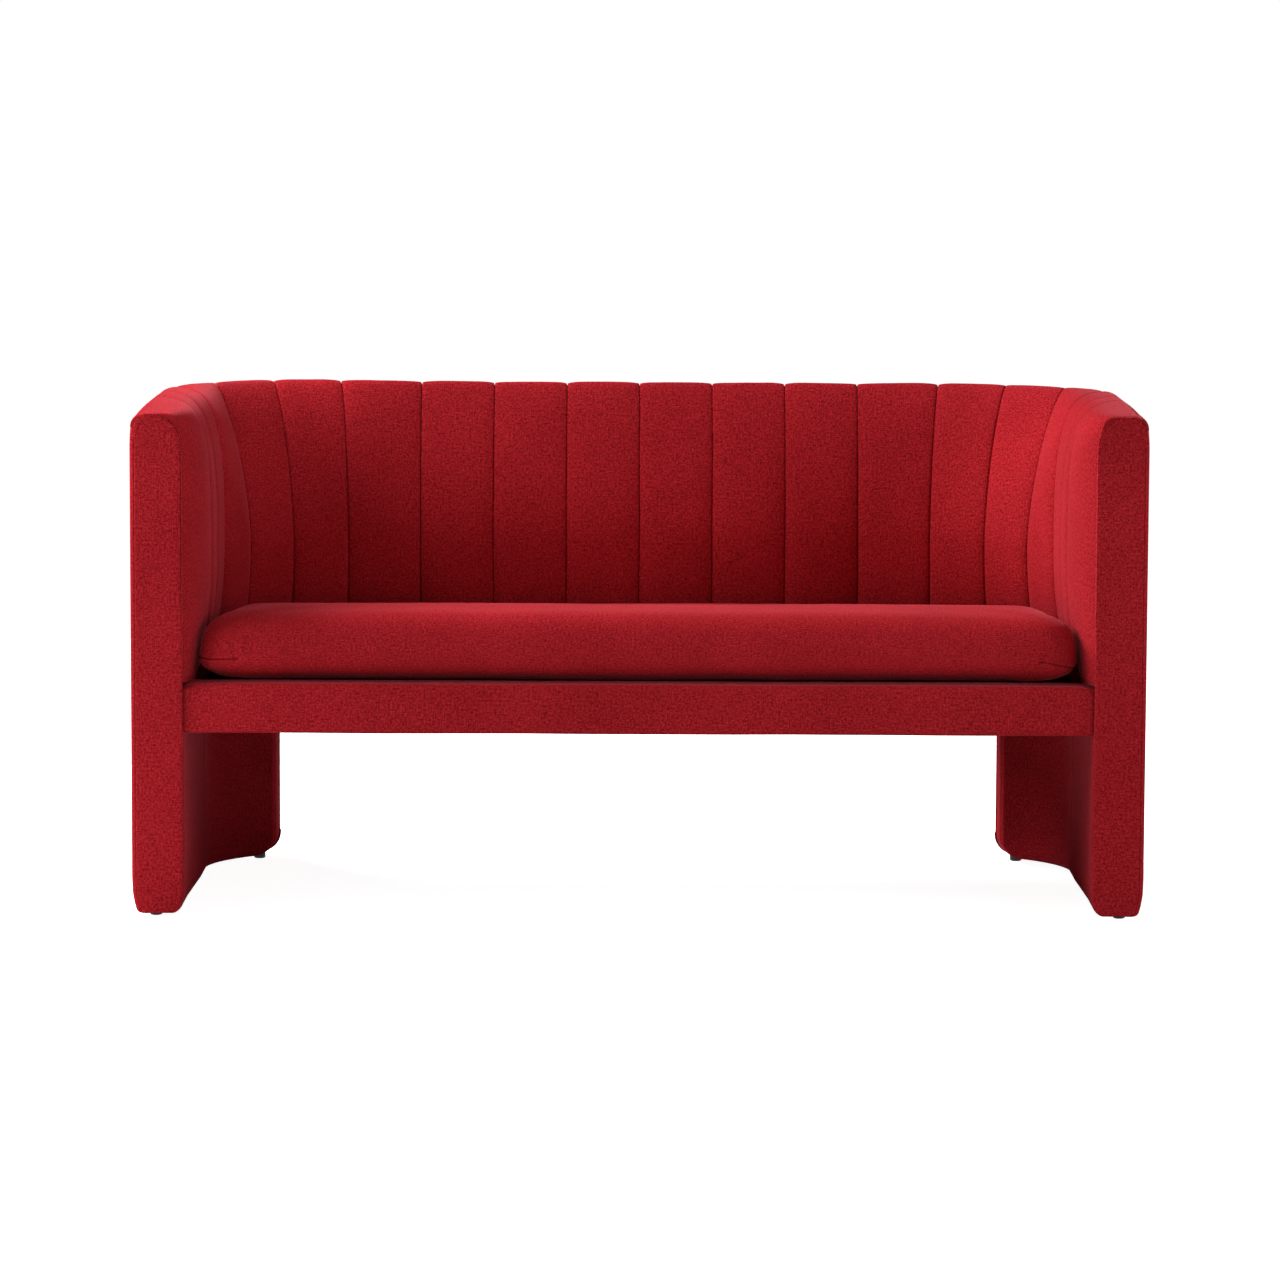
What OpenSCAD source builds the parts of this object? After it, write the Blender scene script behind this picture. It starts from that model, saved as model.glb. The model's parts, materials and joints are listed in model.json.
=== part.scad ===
// Two-seat tub sofa: a bent-plywood U shell on ribs, channelled inner padding that wraps
// over the arms and back, a covered seat rail and one long loose seat cushion.
// The sofa faces -Y. The origin lies on the floor, under the middle of its outline.

/* [Overall size] */
// Width over the two arms
sofa_w = 1480; // [1360:10:1700]
// Depth from the arm fronts to the back
sofa_d = 680; // [650:5:740]
// Height of the wooden frame, under the padding of the arms and back
frame_top_z = 722; // [690:2:760]
// Outer radius of the two rear corners, seen from above
corner_r = 257; // [240:1:285]

/* [Walls] */
// Outer cover: cloth on wadding
cover_t = 5; // [3:0.5:7]
// Bent plywood skins, inside and outside
skin_t = 4; // [3:0.5:6]
// Ribs above the seat, from skin to skin
upper_rib_w = 27; // [22:1:32]
// Ribs below the seat, from skin to skin
lower_rib_w = 48; // [44:1:54]
// Plywood that the ribs are cut from
rib_t = 18; // [15:1:21]
// Cover on the inner face of the legs
leg_cover_t = 6; // [4:0.5:8]
// Rounding of the lower edge of the outer cover
hem_r = 15; // [12:1:18]
// Rounding of the lower edge of the leg's inner cover
leg_hem_r = 10; // [8:1:12]
// Width of cloth turned under each leg edge
turn_under_w = 20; // [17:1:22]
// Width of the studs between the ribs
stud_w = 30; // [24:1:40]

/* [Legs] */
// Underside of the legs above the floor
leg_lift = 12; // [8:1:18]
// Rear end of each leg from the outer face
leg_end_in = 172; // [160:1:190]
// Rounding of the lower corner at each leg's rear end
leg_end_r = 28; // [24:1:34]
// Black cloth strip under each leg
base_strip_t = 2; // [1:0.5:3]
// Glide diameter at the leg
glide_top_d = 18; // [14:1:22]
// Glide diameter at the floor
glide_floor_d = 14; // [10:1:14]
// Glide centres from the outer face
glide_in = 32; // [30:1:36]
// Front glide centres behind the arm fronts
front_glide_back = 50; // [50:1:70]
// Rear glide centres from the leg's rear end
rear_glide_in = 27.5; // [26:0.5:40]
// Hole in the middle of each glide
glide_hole_d = 4.4; // [4:0.1:5]
// Shank of the glide screws
glide_screw_d = 4; // [3:0.1:4]
// Length of the glide screws
glide_screw_l = 24; // [20:1:28]
// Head of the glide screws
glide_screw_head_d = 8; // [7:0.5:9]
// Recess that hides the head of each glide screw
glide_recess_h = 6; // [5:0.5:7]

/* [Seat frame] */
// Underside of the seat above the floor
seat_under_z = 274; // [250:2:300]
// Seat rail behind the arm fronts
rail_set_back = 8; // [6:1:16]
// Padding on the front of the seat rail
rail_pad_t = 6; // [4:0.5:8]
// Thickness of the wooden seat rails
rail_t = 25; // [20:1:30]
// Height of the wooden seat rails
rail_h = 61; // [50:1:80]
// Rounding of the covered rail's front edges
rail_round_r = 8; // [6:0.5:9]
// Depth of the covered rail's top, to the deck
rail_top_w = 52; // [46:1:60]
// Gap between the covered rail's ends and the leg covers
rail_end_gap = 4; // [2:0.5:6]
// Webbing thickness
strap_t = 1.4; // [1:0.1:2]
// Webbing width
strap_w = 50; // [40:1:60]
// Number of straps from front to back
long_straps = 9; // [7:1:11]
// Number of straps from side to side
cross_straps = 3; // [2:1:4]
// Felt on the webbing
felt_t = 3.6; // [2:0.2:5]
// Deck cloth on the felt
deck_cloth_t = 1; // [0.8:0.1:1.5]
// Black cloth under the seat
dust_cover_t = 1.5; // [1:0.1:2.5]
// Diameter of the bolts at the ends of the front rail
bolt_d = 8; // [6:1:10]
// Length of those bolts
bolt_l = 88; // [80:1:100]
// Diameter of the bolt heads
bolt_head_d = 16; // [14:1:20]
// Height of the bolt heads
bolt_head_h = 4; // [3:0.5:5]

/* [Padding] */
// Padding over the frame top, up to the ridge
ridge_rise = 28; // [20:1:34]
// Ridge of the padding from the outer face
ridge_in = 24; // [18:1:30]
// Fullest padding on the back, from the inner skin
back_swell = 54; // [45:1:60]
// Fullest padding on the arms, from the inner skin
arm_swell = 67; // [60:1:72]
// Radius of the padding's rear corners at its fullest height
bulge_r = 316; // [300:1:325]
// Height at which the padding is fullest
bulge_z = 517; // [490:1:550]
// Drop over which the padding would close again below its fullest height
bulge_drop = 226; // [216:2:300]
// Drop that the padding has at the arm fronts
front_bulge_drop = 500; // [400:10:600]
// Fullness of the back and corner padding, 2 being an ellipse
corner_fullness = 1.46; // [1.3:0.02:2.5]
// Fullness of the arm padding
arm_fullness = 3.4; // [2.5:0.1:4.5]
// Fullness at the arm fronts
front_fullness = 7; // [5:0.5:8]
// Reach of the back's channels past its straight length, at each side
back_channels_past = 24; // [10:1:40]
// Width of the front channel at the fullest height
front_channel_w = 130; // [110:1:150]
// Width of the front channel along the ridge
front_ridge_channel_w = 261; // [240:1:280]
// Extra width of the first corner channel at the fullest height
bulge_lead = 16; // [0:1:20]
// Extra width of the first corner channel along the ridge
ridge_lead = 20; // [0:1:24]
// Depth of the sewn channels
channel_depth = 5; // [3:0.5:7]
// Dip of the ridge at each seam
ridge_dip = 2; // [1:0.5:3]
// Drop of the ridge at the arm fronts
front_ridge_drop = 8; // [4:1:12]
// Padding width at the arm fronts
front_w = 77; // [72:1:84]

/* [Arm fronts] */
// Thickness of the padded front facings
facing_t = 8; // [6:0.5:10]
// Outer edge of the facings behind the outer face
facing_inset = 2; // [1:0.5:4]
// Outer top rounding of the facings
facing_outer_r = 20; // [16:1:22]
// Inner top rounding of the facings
facing_inner_r = 46; // [40:1:50]
// Height over which the facing narrows above the rail
facing_taper_h = 90; // [60:5:120]

/* [Seat cushion] */
// Cushion sides outside the fullest line of the arm padding
cushion_side_tuck = 2; // [0:1:4]
// Cushion front behind the arm fronts
cushion_set_back = 18; // [14:1:30]
// Cushion back in front of the fullest line of the back padding
cushion_back_gap = 1; // [0:0.5:12]
// Height of the cushion's widest line above the deck
cushion_edge_z = 36; // [32:1:40]
// Flat band round the cushion, which holds the zip at the back
cushion_band_h = 24; // [22:0.5:26]
// Full height of the cushion at its crown
cushion_h = 103; // [95:1:115]
// Rear corners, less in radius than the padding's
cushion_corner_ease = 4; // [0:1:10]
// Radius of the front corners
cushion_front_r = 48; // [40:1:56]
// How far the front corners stand out at the sides
cushion_corner_out = 8; // [5:1:8.5]
// Wadding between the foam core and the cover's outside
cushion_wrap_t = 26; // [22:1:30]
// Ends of the zip from the cushion's rear corners
zip_end_gap = 43; // [30:1:90]
// Width of the zip tape
zip_tape_w = 22; // [18:0.5:22]
// Width of the zip's teeth
zip_chain_w = 5; // [4:0.5:6]
// Thickness of the zip tape
zip_tape_t = 0.8; // [0.6:0.1:1]
// Thickness of the zip's teeth above the tape
zip_chain_t = 1.2; // [1:0.1:1.4]

/* [Hidden] */

cloth_red = [0.62, 0.09, 0.12];
dark_red = [0.4, 0.05, 0.07];
birch = [0.8, 0.66, 0.47];
beech = [0.72, 0.54, 0.36];
foam_grey = [0.86, 0.84, 0.78];
black_cloth = [0.07, 0.07, 0.07];
black_plastic = [0.05, 0.05, 0.05];
webbing_grey = [0.3, 0.3, 0.3];
steel = [0.7, 0.7, 0.72];

// Fineness of true round shapes, which stay exact
$fn = 96;
// Overrun that lets a cut pass a face
over = 1;
// Play between pieces that slide or pass through each other
play = 0.3;
// Play of a bolt in its hole
bolt_play = 0.1;

half_w = sofa_w / 2;
half_d = sofa_d / 2;
corner_x = half_w - corner_r;
corner_y = half_d - corner_r;

// Depths into the wall from its outer face, called in here
rib_in = cover_t + skin_t;
upper_skin_in = rib_in + upper_rib_w;
pad_in = upper_skin_in + skin_t;
leg_skin_in = rib_in + lower_rib_w;
leg_cover_in = leg_skin_in + skin_t;
leg_w = leg_cover_in + leg_cover_t;

// Heights of the frame
base_z = leg_lift + cover_t;
seat_rib_z = seat_under_z + cover_t;
seat_rib_top_z = seat_rib_z + rib_t;
top_rib_z = frame_top_z - rib_t;
middle_rib_z = (seat_rib_top_z + top_rib_z - rib_t) / 2;
rail_top_z = seat_rib_z + rail_h;
strap_top_z = rail_top_z + strap_t;
felt_z = strap_top_z + strap_t;
deck_top_z = felt_z + felt_t + deck_cloth_t;
ridge_z = frame_top_z + ridge_rise;

// Depths of the front, from the arm fronts, as Y
front_y = -half_d;
shell_front_y = front_y + facing_t;
rail_front_y = front_y + rail_set_back;
rail_wood_y = rail_front_y + rail_pad_t;
rib_front_y = rail_wood_y + rail_t;
rail_end_x = half_w - leg_w - rail_end_gap;
leg_end_x = half_w - leg_end_in;
deck_front_y = rail_front_y + rail_top_w + play;

// Sweeps: a child drawn as [in, height] runs along the wall's U

module to_wall() { mirror([1, 0]) children(); }

module arm_run(y0, y1) {
  translate([half_w, y1, 0]) rotate([90, 0, 0]) linear_extrude(y1 - y0) to_wall() children();
}

module corner_run(from_angle = 0, to_angle = 90) {
  translate([corner_x, corner_y, 0]) rotate([0, 0, from_angle])
    rotate_extrude(angle = to_angle - from_angle) translate([corner_r, 0]) to_wall() children();
}

module back_run(x0, x1) {
  translate([x0, half_d, 0]) rotate([90, 0, 90]) linear_extrude(x1 - x0) to_wall() children();
}

// One arm and its rear corner
module side_run(y0) {
  arm_run(y0, corner_y) children();
  corner_run() children();
}

module whole_run(y0) {
  side_run(y0) children();
  mirror([1, 0, 0]) side_run(y0) children();
  back_run(-corner_x, corner_x) children();
}

module both_sides() {
  children();
  mirror([1, 0, 0]) children();
}

module left() { mirror([1, 0, 0]) children(); }

// Rectangle in the wall, from one depth to another and from one height to another
module band(in0, in1, z0, z1) { translate([in0, z0]) square([in1 - in0, z1 - z0]); }

// Points round an arc
function arc_points(cx, cy, r, from, to, steps = 8) =
  [for (i = [0:steps]) let(a = from + (to - from) * i / steps) [cx + r * cos(a), cy + r * sin(a)]];

// Inner faces of the rounded lower edges: of the outer cover, and of the leg's inner cover
function hem_points(z0) = arc_points(hem_r, z0 + hem_r, hem_r - cover_t, 180, 270);
function leg_hem_points() = [for (p = arc_points(0, 0, 1, 270, 360))
  [leg_w - leg_hem_r + (leg_hem_r - leg_cover_t) * p[0],
    leg_lift + leg_hem_r + (leg_hem_r - cover_t) * p[1]]];

// Space inside the outer cover and its rounded lower edge
module hem_space(z0) {
  polygon(concat([[cover_t, frame_top_z]], hem_points(z0),
    [[leg_w, z0 + cover_t], [leg_w, frame_top_z]]));
}

// Everything beyond a leg's rear end, with its rounded lower corner. set_in moves it inwards
module beyond_leg_end(set_in = 0) {
  round_z = leg_lift + leg_end_r;
  translate([0, half_d + over, 0]) rotate([90, 0, 0])
    linear_extrude(corner_r + 2 * over) {
      translate([-over, -over]) square([leg_end_x + set_in + over, frame_top_z + ridge_rise]);
      difference() {
        translate([leg_end_x, -over]) square([leg_end_r, round_z + over]);
        translate([leg_end_x + leg_end_r, round_z]) circle(r = leg_end_r - set_in);
      }
    }
}

// A node's leg part: the wall below the seat, up to the leg's rear end
module leg_run(y0, set_in = 0) {
  difference() {
    side_run(y0) children();
    beyond_leg_end(set_in);
  }
}

// Wooden ribs

module base_rib() {
  color(birch) leg_run(rib_front_y, cover_t) intersection() {
    band(rib_in, leg_skin_in, base_z, base_z + rib_t);
    hem_space(leg_lift);
  }
}

module base_rib_right() {
  difference() {
    base_rib();
    glide_places() glide_screw_hole();
  }
}

module base_rib_left() { left() base_rib_right(); }

module seat_rib() {
  color(birch) whole_run(rib_front_y) intersection() {
    band(rib_in, leg_cover_in, seat_rib_z, seat_rib_top_z);
    hem_space(seat_under_z);
  }
}

module middle_rib() {
  color(birch) whole_run(rib_front_y)
    band(rib_in, upper_skin_in, middle_rib_z, middle_rib_z + rib_t);
}

module top_rib() {
  color(birch) whole_run(rib_front_y) band(rib_in, upper_skin_in, top_rib_z, frame_top_z);
}

// Bent plywood skins

module outer_skin() {
  hem_z = seat_under_z + hem_r;
  color(birch) {
    both_sides() leg_run(shell_front_y, cover_t) band(cover_t, rib_in, leg_lift + hem_r, hem_z);
    whole_run(shell_front_y) band(cover_t, rib_in, hem_z, frame_top_z);
  }
}

module inner_skin() {
  color(birch) whole_run(rib_front_y)
    band(upper_skin_in, pad_in, seat_rib_top_z, frame_top_z);
}

module leg_skin_right() {
  color(birch) leg_run(rib_front_y, cover_t)
    band(leg_skin_in, leg_cover_in, leg_lift + leg_hem_r, seat_rib_z);
}

module leg_skin_left() { left() leg_skin_right(); }

// Posts and studs

module front_post_right() {
  post = [[rib_in, frame_top_z], [rib_in, base_z], [leg_skin_in, base_z],
    [leg_skin_in, strap_top_z], [upper_skin_in, deck_top_z], [upper_skin_in, frame_top_z]];
  color(beech) difference() {
    arm_run(shell_front_y, rib_front_y) intersection() {
      polygon(post);
      hem_space(leg_lift);
    }
    bolt_places() bolt_hole();
  }
}

module front_post_left() { left() front_post_right(); }

module leg_end_stud_right() {
  stud_x = leg_end_x + cover_t;
  color(beech) intersection() {
    leg_run(rib_front_y, cover_t)
      band(rib_in, leg_skin_in, base_z + rib_t, seat_rib_z);
    translate([stud_x, 0, 0]) cube([stud_w, half_d, seat_rib_z]);
  }
}

module leg_end_stud_left() { left() leg_end_stud_right(); }

// A stud in the middle of the arm's straight length, or of its corner
module arm_stud() {
  stud_y = (rib_front_y + corner_y - stud_w) / 2;
  arm_run(stud_y, stud_y + stud_w) children();
}

module corner_stud() {
  half_angle = stud_w / corner_r * 90 / PI;
  corner_run(45 - half_angle, 45 + half_angle) children();
}

module leg_studs() {
  color(beech) both_sides() {
    arm_stud() band(rib_in, leg_skin_in, base_z + rib_t, seat_rib_z);
    corner_stud() band(rib_in, leg_skin_in, base_z + rib_t, seat_rib_z);
  }
}

module upper_stud_band() {
  band(rib_in, upper_skin_in, seat_rib_top_z, middle_rib_z);
  band(rib_in, upper_skin_in, middle_rib_z + rib_t, top_rib_z);
}

module arm_studs() {
  color(beech) both_sides() {
    arm_stud() upper_stud_band();
    corner_stud() upper_stud_band();
  }
}

module back_studs() {
  color(beech) for (side = [-1, 0, 1])
    let(x = side * corner_x / 2)
      back_run(x - stud_w / 2, x + stud_w / 2) upper_stud_band();
}

// Seat frame

// The two bolts at the right end of the front rail, each drawn along X from its head
module bolt_places() {
  for (step = [-1, 1])
    translate([half_w - rib_in, rail_wood_y + rail_t / 2, seat_rib_z + rail_h / 2 + step * rail_h / 4])
      rotate([0, -90, 0]) children();
}

module bolt_hole() {
  translate([0, 0, -over]) cylinder(d = bolt_head_d + 2 * play, h = bolt_head_h + over);
  cylinder(d = bolt_d + 2 * bolt_play, h = bolt_l + play);
}

module rail_bolts() {
  color(steel) both_sides() bolt_places() {
    cylinder(d = bolt_head_d, h = bolt_head_h);
    cylinder(d = bolt_d, h = bolt_l);
  }
}

module seat_front_rail() {
  end_x = half_w - leg_skin_in;
  color(beech) difference() {
    translate([-end_x, rail_wood_y, seat_rib_z]) cube([2 * end_x, rail_t, rail_h]);
    both_sides() bolt_places() bolt_hole();
  }
}

module seat_back_rail() {
  color(beech) back_run(-corner_x, corner_x)
    band(leg_cover_in, leg_cover_in + rail_t, seat_rib_z, rail_top_z);
}

module seat_side_rail_right() {
  color(beech) arm_run(rib_front_y, corner_y)
    band(leg_cover_in, leg_cover_in + rail_t, seat_rib_z, strap_top_z);
}

module seat_side_rail_left() { left() seat_side_rail_right(); }

module seat_corner_rail_right() {
  color(beech) corner_run() band(leg_cover_in, leg_cover_in + rail_t, seat_rib_z, rail_top_z);
}

module seat_corner_rail_left() { left() seat_corner_rail_right(); }

// Straps stapled on the rails: the long ones run from the front rail to the back rail
module long_webbing() {
  back_y = half_d - leg_cover_in;
  pitch = 2 * corner_x / long_straps;
  color(webbing_grey) for (i = [0:long_straps - 1])
    translate([-corner_x + (i + 0.5) * pitch - strap_w / 2, rail_wood_y, rail_top_z])
      cube([strap_w, back_y - rail_wood_y, strap_t]);
}

module cross_webbing() {
  reach_x = half_w - leg_cover_in;
  pitch = (corner_y - deck_front_y) / cross_straps;
  color(webbing_grey) for (i = [0:cross_straps - 1])
    translate([-reach_x, deck_front_y + (i + 0.5) * pitch - strap_w / 2, strap_top_z])
      cube([2 * reach_x, strap_w, strap_t]);
}

// Plan of the seat inside the wall, from the deck's front edge back
module seat_plan(in, y0) {
  r = corner_r - in;
  side_x = half_w - in;
  difference() {
    translate([-side_x, y0]) square([2 * side_x, half_d - in - y0]);
    both_sides() translate([corner_x, corner_y]) difference() {
      square(r + over);
      circle(r = r);
    }
  }
}

module deck_felt() {
  color(foam_grey) translate([0, 0, felt_z])
    linear_extrude(felt_t) seat_plan(pad_in + play, deck_front_y);
}

module deck_cloth() {
  color(dark_red) translate([0, 0, felt_z + felt_t])
    linear_extrude(deck_cloth_t) seat_plan(pad_in + play, deck_front_y);
}

// Covered seat rail: padded cloth round the front, top and underside of the wood
module rail_cover() {
  deep = rail_top_w;
  high = deck_top_z - seat_under_z;
  color(cloth_red) translate([-rail_end_x, 0, 0]) rotate([90, 0, 90])
    linear_extrude(2 * rail_end_x) difference() {
      translate([rail_front_y, seat_under_z]) {
        translate([rail_round_r, 0]) square([deep - rail_round_r, high]);
        translate([0, rail_round_r]) square([deep, high - 2 * rail_round_r]);
        for (z = [rail_round_r, high - rail_round_r])
          translate([rail_round_r, z]) circle(r = rail_round_r);
      }
      translate([rail_wood_y, seat_rib_z]) square([deep, strap_top_z - seat_rib_z]);
      translate([rib_front_y, seat_under_z - over]) square([deep, strap_top_z - seat_under_z]);
    }
}

module dust_cover() {
  cover_z = seat_rib_z - dust_cover_t;
  gap_x = leg_end_x - play;
  color(black_cloth) translate([0, 0, cover_z]) linear_extrude(dust_cover_t) {
    seat_plan(leg_w + play, rib_front_y + play);
    translate([-gap_x, corner_y]) square([2 * gap_x, half_d - turn_under_w - 3 * play - corner_y
      - (corner_r - sqrt(corner_r * corner_r - pow(gap_x - corner_x, 2)))]);
  }
}

// Outer covers: cloth that turns under at the bottom with a rounded edge
module outer_cover(z0) {
  hem = hem_points(z0);
  polygon(concat(
    [[0, frame_top_z]],
    arc_points(hem_r, z0 + hem_r, hem_r, 180, 270),
    [[turn_under_w, z0], [turn_under_w, z0 + cover_t]],
    [for (i = [len(hem) - 1:-1:0]) hem[i]],
    [[cover_t, frame_top_z]]));
}

module outer_side_cover_right() {
  color(cloth_red) difference() {
    side_run(shell_front_y) outer_cover(leg_lift);
    beyond_leg_end();
  }
}

module outer_side_cover_left() { left() outer_side_cover_right(); }

module outer_back_cover() {
  color(cloth_red) intersection() {
    union() {
      both_sides() corner_run(45, 90) outer_cover(seat_under_z);
      back_run(-corner_x, corner_x) outer_cover(seat_under_z);
    }
    translate([-leg_end_x, 0, 0]) cube([2 * leg_end_x, half_d, frame_top_z]);
  }
}

module leg_inner_cover_right() {
  turn_in = leg_w - turn_under_w;
  hem = leg_hem_points();
  color(cloth_red) leg_run(shell_front_y) polygon(concat(
    [[leg_w, seat_rib_z]],
    arc_points(leg_w - leg_hem_r, leg_lift + leg_hem_r, leg_hem_r, 0, -90),
    [[turn_in, leg_lift], [turn_in, base_z]],
    hem,
    [[leg_cover_in, seat_rib_z]]));
}

module leg_inner_cover_left() { left() leg_inner_cover_right(); }

// Padded end of each leg at the back, between the outer and the inner cover
module leg_end_cover_right() {
  color(cloth_red) difference() {
    intersection() {
      corner_run() polygon(concat([[cover_t, seat_rib_z]], hem_points(leg_lift),
        leg_hem_points(), [[leg_cover_in, seat_rib_z]]));
      beyond_leg_end(cover_t);
    }
    beyond_leg_end();
    rear_glide_place() glide_screw_hole();
  }
}

module leg_end_cover_left() { left() leg_end_cover_right(); }

// Black strip between the turned edges under each leg
module base_strip_right() {
  color(black_cloth) difference() {
    leg_run(rib_front_y, leg_end_r)
      band(turn_under_w + play, leg_w - turn_under_w - play, base_z - base_strip_t, base_z);
    glide_places() translate([0, 0, -over])
      cylinder(d = glide_top_d + 2 * play, h = base_z + 2 * over);
  }
}

module base_strip_left() { left() base_strip_right(); }

// Arm fronts

module front_facing_right() {
  top_z = ridge_z - front_ridge_drop;
  taper_z = deck_top_z + facing_taper_h;
  outline = concat(
    arc_points(facing_inset + hem_r, leg_lift + hem_r, hem_r, 180, 270),
    arc_points(leg_w - leg_hem_r, leg_lift + leg_hem_r, leg_hem_r, -90, 0),
    [[leg_w, seat_under_z], [front_w, taper_z]],
    arc_points(front_w - facing_inner_r, top_z - facing_inner_r, facing_inner_r, 0, 90),
    arc_points(facing_inset + facing_outer_r, top_z - facing_outer_r, facing_outer_r, 90, 180));
  color(cloth_red) arm_run(front_y, shell_front_y) polygon(outline);
}

module front_facing_left() { left() front_facing_right(); }

// Channelled padding. A place along it is given as a channel number: whole numbers are seams,
// counted from the middle of the back, and end_k is the arm front.
end_k = 10;
arm_k = 3;
corner_end_k = 6;
front_k = 9;
// Places of the points across one channel
channel_shares = [0, 0.12, 0.5, 0.88];
front_channel_shares = [0, 0.12, 0.35, 0.6, 0.8, 0.92, 1];
// Points round the lip, as angles, and down the inner face, as shares of its two heights
lip_angles = [0, 35, 65, 90];
upper_shares = [0.985, 0.93, 0.82, 0.65, 0.45, 0.2, 0];
lower_shares = [0.35, 0.7, 1];
// Roundness of a channel between its seams, 2 being a parabola
crown_power = 3;

ridge_r = corner_r - ridge_in;
ridge_len = corner_x + ridge_r * PI / 2 + corner_y - shell_front_y;
bulge_x = half_w - pad_in - arm_swell - bulge_r;
bulge_y = half_d - pad_in - back_swell - bulge_r;
bulge_len = bulge_x + bulge_r * PI / 2 + bulge_y - shell_front_y;

back_len = bulge_x + back_channels_past;
back_channel_w = back_len / arm_k;
arm_channel_w = (bulge_len - front_channel_w - bulge_lead - back_len) / (front_k - arm_k);
ridge_channel_w = (ridge_len - front_ridge_channel_w - ridge_lead - back_len) / (front_k - arm_k);

// Distance along the padding of channel number k, from the middle of the back
function seam_at(k, lead, pitch) =
  k <= arm_k ? k * back_channel_w
  : arm_k * back_channel_w + lead * min(1, k - arm_k) + (k - arm_k) * pitch;
function run_at(k, lead, pitch, len) =
  k <= front_k ? seam_at(k, lead, pitch)
  : seam_at(front_k, lead, pitch) + (k - front_k) * (len - seam_at(front_k, lead, pitch));

// Angle turned so far along a U with straight back half x0 and corner radius r
function turn_at(s, x0, r) = max(0, min(90, (s - x0) / r * 180 / PI));
function point_at(s, x0, y0, r) =
  let(a = turn_at(s, x0, r))
  [min(s, x0) + r * sin(a), y0 + r * cos(a) - max(0, s - x0 - r * PI / 2)];

// How far the padding swells at a height, from 0 at the ridge to 1 at its fullest
function swell(z, top_z, full, drop) =
  z > bulge_z ? pow(max(0, 1 - pow(min(1, (z - bulge_z) / (top_z - bulge_z)), full)), 1 / full)
  : sqrt(max(0, 1 - pow((bulge_z - z) / drop, 2)));

function fullness(k) =
  k <= corner_end_k ? corner_fullness
  : k <= front_k ? corner_fullness
    + min(1, k - corner_end_k) * (arm_fullness - corner_fullness)
  : arm_fullness + (k - front_k) * (front_fullness - arm_fullness);

// How far up its channel's crown a place is: 0 on a seam, 1 in the middle
function crown(k) = let(v = k - floor(k)) k >= end_k ? 0 : 1 - pow(abs(2 * v - 1), crown_power);

// The ring of points round the padding at channel number k
function pad_ring(k) =
  let(s_ridge = run_at(k, ridge_lead, ridge_channel_w, ridge_len),
    s_bulge = run_at(k, bulge_lead, arm_channel_w, bulge_len),
    turned = turn_at(s_ridge, corner_x, ridge_r),
    inward = [-sin(turned), -cos(turned)],
    ridge = point_at(s_ridge, corner_x, corner_y, ridge_r),
    slim = 1 - cos(90 * max(0, k - front_k)),
    slim_w = (pad_in + arm_swell - front_w) * slim,
    bulge = point_at(s_bulge, bulge_x, bulge_y, bulge_r) + [slim_w, 0],
    hump = crown(k),
    drop = bulge_drop + (front_bulge_drop - bulge_drop) * slim,
    top_z = ridge_z - ridge_dip * (1 - hump) * (1 - slim) - front_ridge_drop * slim,
    zs = concat([for (u = upper_shares) bulge_z + u * (top_z - bulge_z)],
      [for (u = lower_shares) bulge_z - u * (bulge_z - deck_top_z)]),
    back = ridge + (pad_in - ridge_in) * inward)
  concat(
    [for (a = lip_angles) let(in = ridge_in * cos(a), p = ridge - in * inward)
      [p[0], p[1], frame_top_z + (top_z - frame_top_z) * sin(a)]],
    [for (z = zs) let(w = swell(z, top_z, fullness(k), drop),
      p = ridge + w * (bulge - ridge) + hump * channel_depth * w * inward) [p[0], p[1], z]],
    [[back[0], back[1], deck_top_z], [back[0], back[1], frame_top_z]]);

// Closed loft through rings of n points, whose last point sees all the others
function loft_faces(rings, n) = concat(
  [for (i = [0:rings - 2]) for (j = [0:n - 1]) let(a = i * n + j, b = i * n + (j + 1) % n)
    each [[a, b, a + n], [b, b + n, a + n]]],
  [for (j = [0:n - 3]) [j + 1, j, n - 1]],
  let(last = (rings - 1) * n) [for (j = [0:n - 3]) [last + j, last + j + 1, last + n - 1]]);

module pad(places) {
  rings = [for (k = places) pad_ring(k)];
  n = len(rings[0]);
  polyhedron(points = [for (ring = rings) each ring], faces = loft_faces(len(rings), n));
}

arm_places = concat(
  [for (k = [arm_k:front_k - 1]) for (v = channel_shares) k + v],
  [for (v = front_channel_shares) front_k + v]);
half_back_places = concat([for (k = [0:arm_k - 1]) for (v = channel_shares) k + v], [arm_k]);

module arm_pad_right() { color(cloth_red) pad(arm_places); }

module arm_pad_left() { color(cloth_red) left() pad(arm_places); }

module back_pad() {
  color(cloth_red) {
    pad(half_back_places);
    left() pad(half_back_places);
  }
}

// Seat cushion

cushion_w = 2 * (half_w - pad_in - arm_swell + cushion_side_tuck);
cushion_y = front_y + cushion_set_back;
cushion_back_y = half_d - pad_in - back_swell - cushion_back_gap;
cushion_d = cushion_back_y - cushion_y;
cushion_rear_r = bulge_r - cushion_corner_ease;
cushion_z = deck_top_z + play;
band_z = cushion_z + cushion_edge_z;
// Each ring round the cushion: how far in from the edge, and how far up the edge or the crown
under_in_shares = [1, 0.46, 0.19, 0.04];
under_rise_shares = [0, 0.18, 0.42, 0.76];
over_in_shares = [0.015, 0.05, 0.12, 0.28, 0.52, 0.78];
over_rise_shares = [0.36, 0.62, 0.78, 0.9, 0.97, 0.995];
// How far in from the edge the flat underside starts
under_in = 48;
// How soon the sides draw in behind the front corners
drawn_in_power = 4;
// Points along an edge, and round a rear corner
edge_steps = 5;
corner_steps = 8;

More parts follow.
